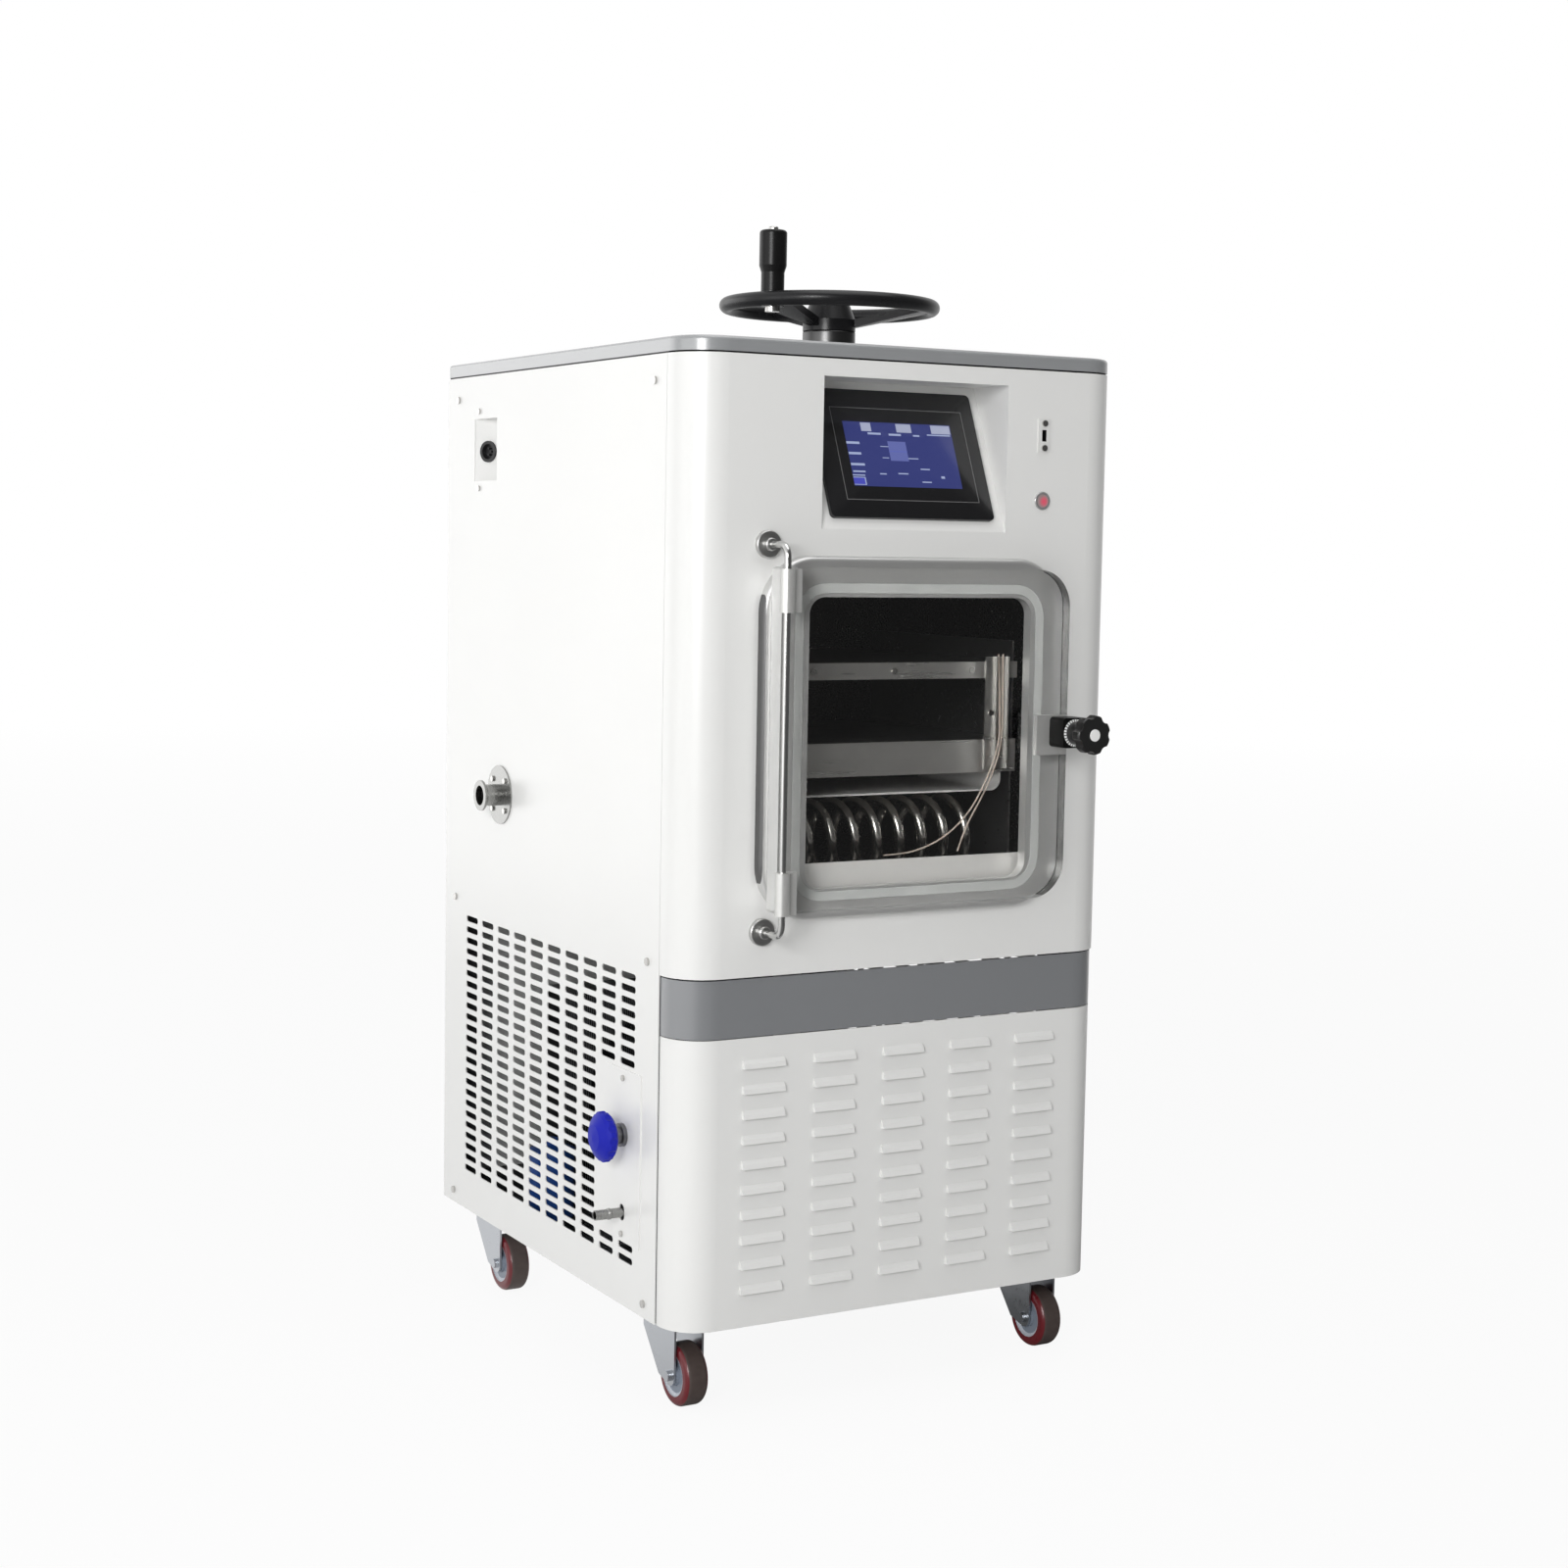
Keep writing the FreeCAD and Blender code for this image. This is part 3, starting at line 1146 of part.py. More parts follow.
def make_chamber():
    """The chamber shell, welded from sheets: four flat walls, four rolled corner strips between
    them, a back plate and a gland for the press screw."""
    reach_x, reach_z, wall = d.chamber_half_wide, d.chamber_half_tall, d.chamber_wall
    depth = chamber_back - front_face - wall

    def outline(inset):
        return frame_corners(-reach_x + inset, reach_x - inset, -reach_z + inset, reach_z - inset,
                             d.chamber_round - inset)

    wrap = new_body("wrap")
    sketch = outlined(wrap, "wrap_front", "XZ_Plane", [outline(0), outline(wall)])
    feature(wrap, "Pad", "wrap_pad", sketch, Length=depth, Reversed=True)
    place(wrap, (0, front_face, d.chamber_mid))
    bend, clear = d.chamber_round, 1
    columns = {"left": (-reach_x - clear, -reach_x + bend), "mid": (-reach_x + bend, reach_x - bend),
               "right": (reach_x - bend, reach_x + clear)}
    rows = {"low": (chamber_low - clear, chamber_low + bend),
            "mid": (chamber_low + bend, chamber_high - bend),
            "high": (chamber_high - bend, chamber_high + clear)}
    sheets = {}
    for column, (left, right) in columns.items():
        for row, (low, high) in rows.items():
            if (column, row) != ("mid", "mid"):
                zone = box(f"zone_{column}_{row}", (left, front_face, low), (right, front_face + depth, high))
                sheets[column, row] = common(f"sheet_{column}_{row}", wrap, zone)
    back = new_body("back_plate")
    feature(back, "Pad", "back_pad", outlined(back, "back_front", "XZ_Plane", [outline(0)]),
            Length=wall, Reversed=True)
    place(back, (0, front_face + depth, d.chamber_mid))
    gland = rod("gland", (0, screw_y, chamber_high), d.gland_radius, d.gland_tall)
    ram_hole = rod("gland_bore", (0, screw_y, chamber_high - wall - 1), d.ram_radius + d.run_clear,
                   d.gland_tall + wall + 2)
    port_hole = rod("vacuum_hole", (-reach_x - 1, vac_y, d.vac_z), d.vac_tube + d.run_clear,
                    wall + 2, "x")
    sheets["mid", "high"] = cut("roof_cut", sheets["mid", "high"], [ram_hole])
    sheets["left", "mid"] = cut("left_wall_cut", sheets["left", "mid"], [port_hole])
    keep("chamber_shell", group("shell_welded", list(sheets.values())
                                + [back, cut("gland_cut", gland, [ram_hole])]))


def make_flange():
    body = new_body("flange")
    reach_x, reach_z = flange_x, flange_reach_z
    mid = d.chamber_mid
    outer = frame_corners(-reach_x, reach_x, mid - reach_z, mid + reach_z, flange_round)
    sketch = outlined(body, "flange_front", "XZ_Plane", [outer])
    feature(body, "Pad", "flange_pad", sketch, Length=d.flange_thick)
    rounded_edges(body, "flange_edge_round", lambda edge: level_edge(edge, "y", -d.flange_thick),
                  d.flange_edge)
    mouth = frame_corners(-mouth_x, mouth_x, mouth_low, mouth_high, d.mouth_round)
    pocketed(body, "mouth_cut", outlined(body, "mouth_front", "XZ_Plane", [mouth]))
    place(body, (0, front_face, 0))
    clear = d.soft_clear
    groove = new_body("groove")
    reach = gasket_x
    loops = [frame_corners(-reach - clear, reach + clear, gasket_low - clear, gasket_high + clear,
                           d.gasket_round + clear),
             frame_corners(-reach + d.gasket_band + clear, reach - d.gasket_band - clear,
                           gasket_low + d.gasket_band + clear, gasket_high - d.gasket_band - clear,
                           d.gasket_round - d.gasket_band - clear)]
    feature(groove, "Pad", "groove_pad", outlined(groove, "groove_front", "XZ_Plane", loops),
            Length=d.groove_deep + 1)
    place(groove, (0, flange_face + d.groove_deep, 0))
    stud = rod("stud_hole", (latch_x, flange_face - 1, latch_z), d.stud_radius + d.run_clear,
               d.stud_travel + d.stud_room + 1, "y")
    keep("chamber_flange", cut("flange_cut", body, [groove, stud]))
    gasket = new_body("gasket")
    loops = [frame_corners(-reach, reach, gasket_low, gasket_high, d.gasket_round),
             frame_corners(-reach + d.gasket_band, reach - d.gasket_band, gasket_low + d.gasket_band,
                           gasket_high - d.gasket_band, d.gasket_round - d.gasket_band)]
    feature(gasket, "Pad", "gasket_pad", outlined(gasket, "gasket_front", "XZ_Plane", loops),
            Length=d.groove_deep + d.gasket_proud)
    place(gasket, (0, flange_face + d.groove_deep, 0))
    keep("door_gasket", gasket)


def shelf(name, low, high, inner_holes):
    """A folded shelf, open underneath."""
    half, sheet = rack_x, d.shelf_sheet
    block = box(name + "_block", (-half, rack_front, low), (half, rack_back, high))
    core = box(name + "_core", (-half + sheet, rack_front + sheet, low - 1),
               (half - sheet, rack_back - sheet, high - sheet))
    return cut(name, block, [core, inner_holes])


def make_rack(inner_holes):
    """Two shelves welded between side plates that stand off the chamber walls on pads."""
    half = rack_x
    pieces = [shelf("shelf_a", d.shelf_a_low, d.shelf_a_high, inner_holes),
              shelf("shelf_b", d.shelf_b_low, d.shelf_b_high, inner_holes)]
    side_front = rack_front + 12
    for side, sign in (("left", -1), ("right", 1)):
        inner_face, outer_face, wall = half * sign, (half + d.rack_side) * sign, chamber_inner_x * sign
        pieces.append(box(f"rack_side_{side}",
                          (outer_face if sign < 0 else inner_face, side_front, d.rack_side_low),
                          (inner_face if sign < 0 else outer_face, rack_back, d.rack_side_high)))
        for level, z_low in (("low", d.shelf_b_low - d.pad_long), ("high", d.shelf_a_low - d.pad_long)):
            for end, y_low in (("front", side_front + 20), ("rear", rack_back - d.pad_long - 20)):
                pieces.append(box(f"pad_{side}_{level}_{end}",
                                  (wall if sign < 0 else outer_face, y_low, z_low),
                                  (outer_face if sign < 0 else wall, y_low + d.pad_long,
                                   z_low + d.pad_long)))
    keep("shelf_rack", group("rack", pieces))
    back = rack_front
    plate = box("bracket_plate", (d.bracket_left, back - d.bracket_thick, d.bracket_low),
                (d.bracket_right, back, d.bracket_high))
    ribs = [box(f"bracket_rib_{index}", (x, back - d.bracket_thick - d.rib_deep, d.bracket_low),
                (x + d.rib_thick, back - d.bracket_thick, d.bracket_high))
            for index, x in enumerate((d.rib_left, d.bracket_right - d.rib_thick), start=1)]
    keep("probe_bracket", cut("bracket", fuse("bracket_solid", [plate] + ribs), [inner_holes]))


def make_condenser():
    """The ice condenser: a tube coil lying along the chamber, its baffle and its weir."""
    helix = doc.addObject("Part::Helix", "coil_path")
    bind(helix, "Pitch", d.coil_pitch)
    bind(helix, "Height", d.coil_pitch * d.coil_turns)
    bind(helix, "Radius", d.coil_radius)
    along = Rotation(Vector(0, 0, 1), Vector(0, 1, 0), Vector(1, 0, 0), "ZXY")
    place(helix, (-d.chamber_half_wide + d.coil_left, front_face + d.coil_in, d.coil_z), along)
    first = helix.Placement.multVec(Vector(float(d.coil_radius), 0, 0))
    tangent = along.multVec(Vector(0, 1, 0))
    ring = shaped("coil_section", Part.Circle(first, tangent, float(d.coil_tube)).toShape())
    sweep = doc.addObject("Part::Sweep", "coil_sweep")
    sweep.Sections = [ring]
    sweep.Spine = (helix, ["Edge1"])
    sweep.Solid = True
    sweep.Frenet = True
    doc.recompute()
    inner_back = float(chamber_back - d.chamber_wall)
    last = first + Vector(float(d.coil_pitch * d.coil_turns), 0, -2 * float(d.coil_radius))
    leads = []
    for tip in (first, last):
        leads.append(Part.makeSphere(float(d.coil_tube + d.coil_braze), tip))
        leads.append(Part.makeCylinder(float(d.coil_tube), inner_back - tip.y, tip, Vector(0, 1, 0)))
    keep("condenser_coil", fuse("coil", [sweep] + [shaped(f"coil_lead_{index}", shape)
                                                    for index, shape in enumerate(leads)]))
    weir = new_body("weir_blank")
    clear = d.soft_clear
    weir_y = front_face + d.weir_in
    reach = chamber_inner_x - clear
    low, high = chamber_low + d.chamber_wall + clear, chamber_high - d.chamber_wall - clear
    corners = frame_corners(-reach, reach, low, high, d.chamber_round - d.chamber_wall - clear)
    feature(weir, "Pad", "weir_pad", outlined(weir, "weir_front", "XZ_Plane", [corners]),
            Length=d.weir_thick)
    place(weir, (0, weir_y, 0))
    above = box("weir_above", (-reach - 1, weir_y - d.weir_thick - 1, d.weir_high),
                (reach + 1, weir_y + 1, high + 1))
    weir = cut("weir", weir, [above])
    baffle = new_body("baffle")
    wall, left, right = d.weir_thick, -rack_x, rack_x - d.baffle_clear
    outline = [(left, d.baffle_z), (right, d.baffle_z, d.baffle_bend), (right, d.shelf_b_low),
               (right - wall, d.shelf_b_low), (right - wall, d.baffle_z + wall, d.baffle_bend - wall),
               (left, d.baffle_z + wall)]
    feature(baffle, "Pad", "baffle_pad", outlined(baffle, "baffle_front", "XZ_Plane", [outline]),
            Length=d.baffle_long)
    place(baffle, (0, front_face + d.baffle_in + d.baffle_long, 0))
    keep("condenser_guards", group("guards", [weir, baffle]))


# Routes of the two probe wires, chosen by hand: down the bracket's channel, then off to the left.
PROBE_ROUTES = {
    "probe_wire_1": ((149.8, -305.4, 884.0), (151.0, -305.5, 860.0), (152.6, -305.4, 836.0),
                     (153.0, -306.4, 812.0), (151.6, -309.9, 788.0), (144.8, -312.6, 763.0),
                     (134.6, -314.2, 741.0), (122.4, -315.8, 720.0), (108.8, -317.2, 700.0),
                     (90.6, -318.2, 681.0), (68.0, -318.7, 665.0), (41.5, -319.0, 653.5),
                     (11.5, -319.2, 646.8), (-18.0, -319.4, 646.5)),
    "probe_wire_2": ((156.5, -305.4, 884.0), (157.0, -305.5, 859.0), (157.6, -305.4, 834.0),
                     (157.3, -306.3, 809.0), (155.2, -308.8, 785.0), (150.0, -310.6, 762.0),
                     (141.4, -311.6, 741.0), (131.0, -312.6, 721.0), (119.2, -313.6, 702.5),
                     (106.8, -314.6, 684.5), (96.8, -315.4, 665.5), (89.2, -316.0, 646.5)),
}


def make_probe_wires():
    for node, route in PROBE_ROUTES.items():
        solid, radii, length = tube_along(route, d.wire_radius)
        straight = math.pi * float(d.wire_radius) ** 2 * length
        print(node, "arc radii", [round(radius, 1) for radius in radii])
        print(node, "length", round(length, 1), "volume over section times length",
              round(solid.Volume / straight, 4))
        keep(node, shaped(node + "_solid", solid))


# ---- door, hinge and latch -----------------------------------------------------------------------

def make_door():
    body = new_body("door")
    corners = [(door_left, door_low, d.door_hinge_round), (door_right, door_low, d.door_round),
               (door_right, door_high, d.door_round), (door_left, door_high, d.door_hinge_round)]
    feature(body, "Pad", "door_pad", outlined(body, "door_front", "XZ_Plane", [corners]),
            Length=d.door_thick)
    hole = outlined(body, "door_hole", "XZ_Plane", [], [((latch_x, latch_z),
                                                         d.stud_radius + d.run_clear)])
    pocketed(body, "door_bore", hole)
    place(body, (0, door_back, 0))
    keep("door_panel", body)


def make_hinge():
    """A bent rod on two bosses, and two barrels that carry the door on it."""
    bend, radius = float(d.hinge_bend), float(d.hinge_rod)
    x, face, out = float(hinge_x), float(front_face), float(hinge_y)
    low, high = float(hinge_low), float(hinge_high)
    root = face + 6
    bow = bend * (1 - math.sqrt(0.5))
    edges = [Part.LineSegment(Vector(x, root, low), Vector(x, out + bend, low)).toShape(),
             Part.Arc(Vector(x, out + bend, low), Vector(x, out + bow, low + bow),
                      Vector(x, out, low + bend)).toShape(),
             Part.LineSegment(Vector(x, out, low + bend), Vector(x, out, high - bend)).toShape(),
             Part.Arc(Vector(x, out, high - bend), Vector(x, out + bow, high - bow),
                      Vector(x, out + bend, high)).toShape(),
             Part.LineSegment(Vector(x, out + bend, high), Vector(x, root, high)).toShape()]
    ring = Part.Wire(Part.Circle(Vector(x, root, low), Vector(0, 1, 0), radius).toShape())
    keep("hinge_rod", shaped("hinge_rod_solid", Part.Wire(edges).makePipeShell([ring], True, True)))
    bore = d.hinge_rod + d.run_clear
    profile = [(bore, 0), (d.boss_radius, 0), (d.boss_radius, d.boss_thick, 2), (d.boss_hub, d.boss_thick),
               (d.boss_hub, d.boss_tall, 2), (bore, d.boss_tall)]
    bosses = [turned(f"boss_{key}", profile, (hinge_x, front_face, z), "-y")
              for key, z in (("low", hinge_low), ("high", hinge_high))]
    keep("hinge_bosses", group("bosses", bosses))
    half = d.barrel_wide / 2
    barrels = []
    top = door_high - d.barrel_drop
    for key, low, high in (("low", door_low, door_low + d.barrel_tall), ("high", top - d.barrel_tall, top)):
        foot_left = hinge_x - half + 9
        foot = box(f"barrel_foot_{key}", (foot_left, hinge_y, low),
                   (foot_left + d.barrel_wide, door_front, high))
        shell = rod(f"barrel_shell_{key}", (hinge_x, hinge_y, low), d.barrel_radius, high - low)
        hole = rod(f"barrel_bore_{key}", (hinge_x, hinge_y, low - 1), bore, high - low + 2)
        barrels.append(cut(f"barrel_{key}", fuse(f"barrel_solid_{key}", [shell, foot]), [hole]))
    keep("hinge_barrels", group("barrels", barrels))


def make_latch():
    """A star knob that turns in its housing and drives a stud into the flange."""
    plate_face = door_front - d.latch_plate_thick
    plate_right, half = door_right - d.latch_plate_in, d.latch_plate_tall / 2
    plate = box("latch_block", (plate_right - d.latch_plate_wide, plate_face, d.chamber_mid - half),
                (plate_right, door_front, d.chamber_mid + half))
    stud_bore = rod("latch_plate_bore", (latch_x, plate_face - 1, latch_z),
                    d.stud_radius + d.run_clear, d.latch_plate_thick + 2, "y")
    keep("latch_plate", cut("latch_plate_cut", plate, [stud_bore]))
    bore = d.knob_shaft + d.run_clear
    reach = d.housing_half
    housing = new_body("housing_block")
    front = outlined(housing, "housing_front", "XY_Plane",
                     [frame_corners(-reach, reach, -reach, reach, d.housing_round)], [((0, 0), bore)])
    feature(housing, "Pad", "housing_pad", front, Length=d.housing_long)
    origin = (latch_x, plate_face, latch_z)
    place(housing, origin, FACING["-y"])
    keep("latch_housing", housing)
    body = new_body("star")
    stud_room = d.stud_radius + d.run_clear
    shaft_low = d.soft_clear
    star_low = d.housing_long + d.neck_long
    star_high = star_low + d.star_thick
    room = d.stud_long - d.latch_plate_thick - d.door_thick + d.stud_back + 4
    profile = [(stud_room, shaft_low), (d.knob_shaft, shaft_low),
               (d.knob_shaft, d.housing_long + d.soft_clear),
               (d.neck_radius, d.housing_long + d.soft_clear), (d.neck_radius, star_low),
               (d.star_radius, star_low, 3), (d.star_radius, star_high, 3), (0, star_high), (0, room),
               (stud_room, room)]
    sketch = outlined(body, "star_profile", "XZ_Plane", [profile])
    spin = feature(body, "Revolution", "star_spin", sketch)
    spin.ReferenceAxis = (sketch, ["V_Axis"])
    spin.Angle = 360
    centre = d.star_radius + d.star_scallop / 2
    scallop = outlined(body, "scallop_plan", "XY_Plane", [], [((centre, 0), d.star_scallop)])
    doc.recompute()
    before = body.Shape.Volume
    groove = feature(body, "Pocket", "star_scallop_cut", scallop)
    groove.Type = "ThroughAll"
    groove.Midplane = True
    check_grew(body, before, grows=False)
    repeated(body, "star_lobe_ring", groove, (sketch, ["V_Axis"]), d.star_lobes)
    place(body, origin, FACING["-y"])
    keep("star_knob", body)
    inner_end = door_back - d.stud_back
    keep("latch_stud", rod("stud", (latch_x, inner_end, latch_z), d.stud_radius, d.stud_long, "-y"))


# ---- stoppering press and handwheel --------------------------------------------------------------

def make_press():
    press_top, reach = d.press_low + d.press_thick, rack_x - d.press_clear
    keep("press_plate", box("press", (-reach, front_face + d.press_in, d.press_low),
                            (reach, chamber_back - d.press_to_back, press_top)))
    profile = [(0, 0), (d.ram_foot, 0), (d.ram_foot, d.ram_foot_thick), (d.ram_radius, d.ram_foot_thick),
               (d.ram_radius, ram_top - press_top), (0, ram_top - press_top)]
    keep("lead_screw", turned("ram", profile, (0, screw_y, press_top)))
    bore = d.nut_radius + d.run_clear
    low = -d.spigot_deep
    collar = [(bore, low), (d.spigot_radius, low), (d.spigot_radius, 0), (d.collar_radius, 0),
              (d.collar_radius, d.collar_tall, 2), (bore, d.collar_tall)]
    keep("screw_collar", turned("collar", collar, (0, screw_y, d.cover_top)))
    thread = d.ram_radius + d.run_clear
    flange_high = d.cover_top - d.spigot_deep - d.soft_clear - nut_low
    shoulder = d.cover_top + d.collar_tall + d.soft_clear - nut_low
    nut = [(thread, 0), (d.nut_radius, 0), (d.nut_radius, flange_high - d.nut_flange_tall),
           (d.nut_flange, flange_high - d.nut_flange_tall), (d.nut_flange, flange_high),
           (d.nut_radius, flange_high), (d.nut_radius, shoulder), (d.nut_neck, shoulder),
           (d.nut_neck, nut_high - nut_low), (thread, nut_high - nut_low)]
    keep("drive_nut", turned("nut", nut, (0, screw_y, nut_low)))


def make_handwheel():
    """Dished handwheel: hub, three arms that rise to a round rim, and a boss for the grip."""
    base = d.cover_top + d.collar_tall + d.soft_clear
    bore = d.nut_neck + d.run_clear
    body = new_body("wheel")
    hub_high = hub_top - base
    profile = [(bore, 0), (d.hub_radius, 0), (d.hub_radius, d.hub_low_tall),
               (d.hub_radius * 0.72, hub_high), (0, hub_high), (0, nut_high - base + 0.5),
               (bore, nut_high - base + 0.5)]
    sketch = outlined(body, "wheel_hub_profile", "XZ_Plane", [profile])
    hub = feature(body, "Revolution", "wheel_hub", sketch)
    hub.ReferenceAxis = (sketch, ["V_Axis"])
    hub.Angle = 360
    rim_high = rim_z - base
    half = d.arm_thick / 2
    inner_r, outer_r = d.hub_radius - 6, d.rim_radius - 2
    start_low = d.hub_low_tall - d.arm_thick
    arm = [(inner_r, start_low), (inner_r + 6, start_low), (outer_r, rim_high - half),
           (outer_r, rim_high + half), (inner_r, start_low + d.arm_thick)]
    arm_sketch = outlined(body, "wheel_arm_profile", "XZ_Plane", [arm])
    arms = feature(body, "Revolution", "wheel_arm", arm_sketch)
    arms.ReferenceAxis = (arm_sketch, ["V_Axis"])
    bind(arms, "Angle", d.arm_spread)
    arms.Midplane = True
    repeated(body, "wheel_arms", arms, (sketch, ["V_Axis"]), d.arm_count)
    doc.recompute()
    rim_sketch = outlined(body, "wheel_rim_profile", "XZ_Plane", [], [((d.rim_radius, rim_high),
                                                                       d.rim_section)])
    rim = feature(body, "Revolution", "wheel_rim", rim_sketch)
    rim.ReferenceAxis = (rim_sketch, ["V_Axis"])
    rim.Angle = 360
    place(body, (0, screw_y, base), Rotation(Vector(0, 0, 1), float(d.grip_angle)))
    body.setExpression("Placement.Rotation.Angle", d.grip_angle.text)
    grip_x = d.grip_reach * d.grip_angle.trig("cos")
    grip_y = screw_y + d.grip_reach * d.grip_angle.trig("sin")
    boss_low = rim_z - d.rim_section
    boss = rod("wheel_boss", (grip_x, grip_y, boss_low), d.grip_boss, grip_base - boss_low)
    hole = rod("wheel_boss_hole", (grip_x, grip_y, boss_low - 5), d.spindle_radius + d.run_clear,
               grip_base - boss_low + 10)
    keep("handwheel", cut("wheel_drilled", fuse("wheel_boss_fused", [body, boss]), [hole]))
    low = grip_base + d.soft_clear
    bore = d.spindle_radius + d.run_clear
    grip = [(bore, 0), (d.grip_neck, 0), (d.grip_neck, d.grip_neck_long), (d.grip_radius, d.grip_neck_long + 8),
            (d.grip_radius, d.grip_long, 4), (bore, d.grip_long)]
    keep("crank_grip", turned("grip", grip, (grip_x, grip_y, low)))
    nut_low = boss_low - d.spindle_nut_tall
    head_low = low + d.grip_long + d.soft_clear
    spindle = [(0, 0), (d.spindle_nut, 0), (d.spindle_nut, d.spindle_nut_tall),
               (d.spindle_radius, d.spindle_nut_tall), (d.spindle_radius, head_low - nut_low),
               (d.spindle_head, head_low - nut_low),
               (d.spindle_head, head_low - nut_low + d.spindle_head_tall, 2),
               (0, head_low - nut_low + d.spindle_head_tall)]
    keep("grip_spindle", turned("spindle", spindle, (grip_x, grip_y, nut_low)))


# ---- left side fittings --------------------------------------------------------------------------

def make_socket():
    """A pocket whose floor leans from the panel at the rear to its full depth at the front."""
    wall, deep = d.sheet_thick, d.pocket_deep
    run = pocket_rear - pocket_front
    floor_turn = math.degrees(math.atan2(float(deep), float(run)))

    def prism(name, grow, x_front, z_low, z_high):
        body = new_body(name)
        slope = deep / run
        corners = [(x_front, pocket_front - grow), (-inner_x + deep + grow, pocket_front - grow),
                   (-inner_x + grow - grow * slope, pocket_rear + grow), (x_front, pocket_rear + grow)]
        feature(body, "Pad", name + "_pad", outlined(body, name + "_plan", "XY_Plane", [corners]),
                Length=z_high - z_low)
        return place(body, (0, 0, z_low))

    outer = prism("pocket_outer", wall, -inner_x, d.pocket_low - wall, d.pocket_high + wall)
    rim = d.pocket_flange + d.small_head + 4
    flange = box("pocket_rim", (-inner_x, pocket_front - d.pocket_flange, d.pocket_low - rim),
                 (-inner_x + wall, pocket_rear + d.pocket_flange, d.pocket_high + rim))
    inner = prism("pocket_inner", 0, -half_wide - 1, d.pocket_low, d.pocket_high)
    lean = math.atan2(float(deep), float(run))
    across = Vector(math.sin(lean), -math.cos(lean), 0)
    outward = Vector(-math.cos(lean), -math.sin(lean), 0)
    seat = Vector(-float(inner_x), float(pocket_rear), float(d.socket_z)) + across * float(d.socket_along)
    barrel = float(d.socket_radius) - 3
    hole = shaped("socket_hole", Part.makeCylinder(barrel + float(d.run_clear), 20,
                                                   seat + outward * 5, outward * -1))
    lift = d.pocket_flange + d.small_head / 2 + 2
    screws = [rod(f"pocket_screw_hole_{index}", (-half_wide, pocket_screw_y, z),
                  d.small_shank / 2 + d.thread_clear, wall * 3, "x")
              for index, z in enumerate((d.pocket_low - lift, d.pocket_high + lift), start=1)]
    keep("socket_pocket", cut("pocket", fuse("pocket_solid", [outer, flange]), [inner, hole] + screws))
    shapes = [Part.makeCylinder(float(d.socket_radius), float(d.socket_proud), seat, outward),
              Part.makeCylinder(barrel, float(d.socket_deep), seat, outward * -1)]
    recess = Part.makeCylinder(barrel - 1, 8, seat + outward * (float(d.socket_proud) + 1), outward * -1)
    solid = shapes[0].fuse(shapes[1]).cut(recess)
    pins = [Part.makeCylinder(1.2, 10, seat + up * 4 + outward * (float(d.socket_proud) - 1), outward * -1)
            for up in (Vector(0, 0, 1), Vector(0, 0, -1), across)]
    for pin in pins:
        solid = solid.fuse(pin)
    keep("power_socket", shaped("socket", solid.removeSplitter()))


def make_vacuum_port():
    """Welded vacuum port: tube from the chamber, fixing disc and a small-bore flange."""
    start = chamber_inner_x
    disc_low = half_wide - start
    face = disc_low + d.vac_out
    rim_low = face - d.vac_flange_thick
    profile = [(d.vac_bore, 0), (d.vac_tube, 0), (d.vac_tube, disc_low), (d.vac_disc, disc_low),
               (d.vac_disc, disc_low + d.vac_disc_thick), (d.vac_tube, disc_low + d.vac_disc_thick),
               (d.vac_tube, rim_low - d.vac_flare), (d.vac_flange, rim_low), (d.vac_flange, face),
               (d.vac_bore, face)]
    body = turned("vacuum", profile, (-start, vac_y, d.vac_z), "-x")
    large, small, inner = screw_places()
    holes = [screw_hole(f"vacuum_hole_{index}", point, facing, d.small_shank, d.small_long)
             for index, (point, facing) in enumerate(small[2:6], start=1)]
    keep("vacuum_port", cut("vacuum_cut", body, holes))


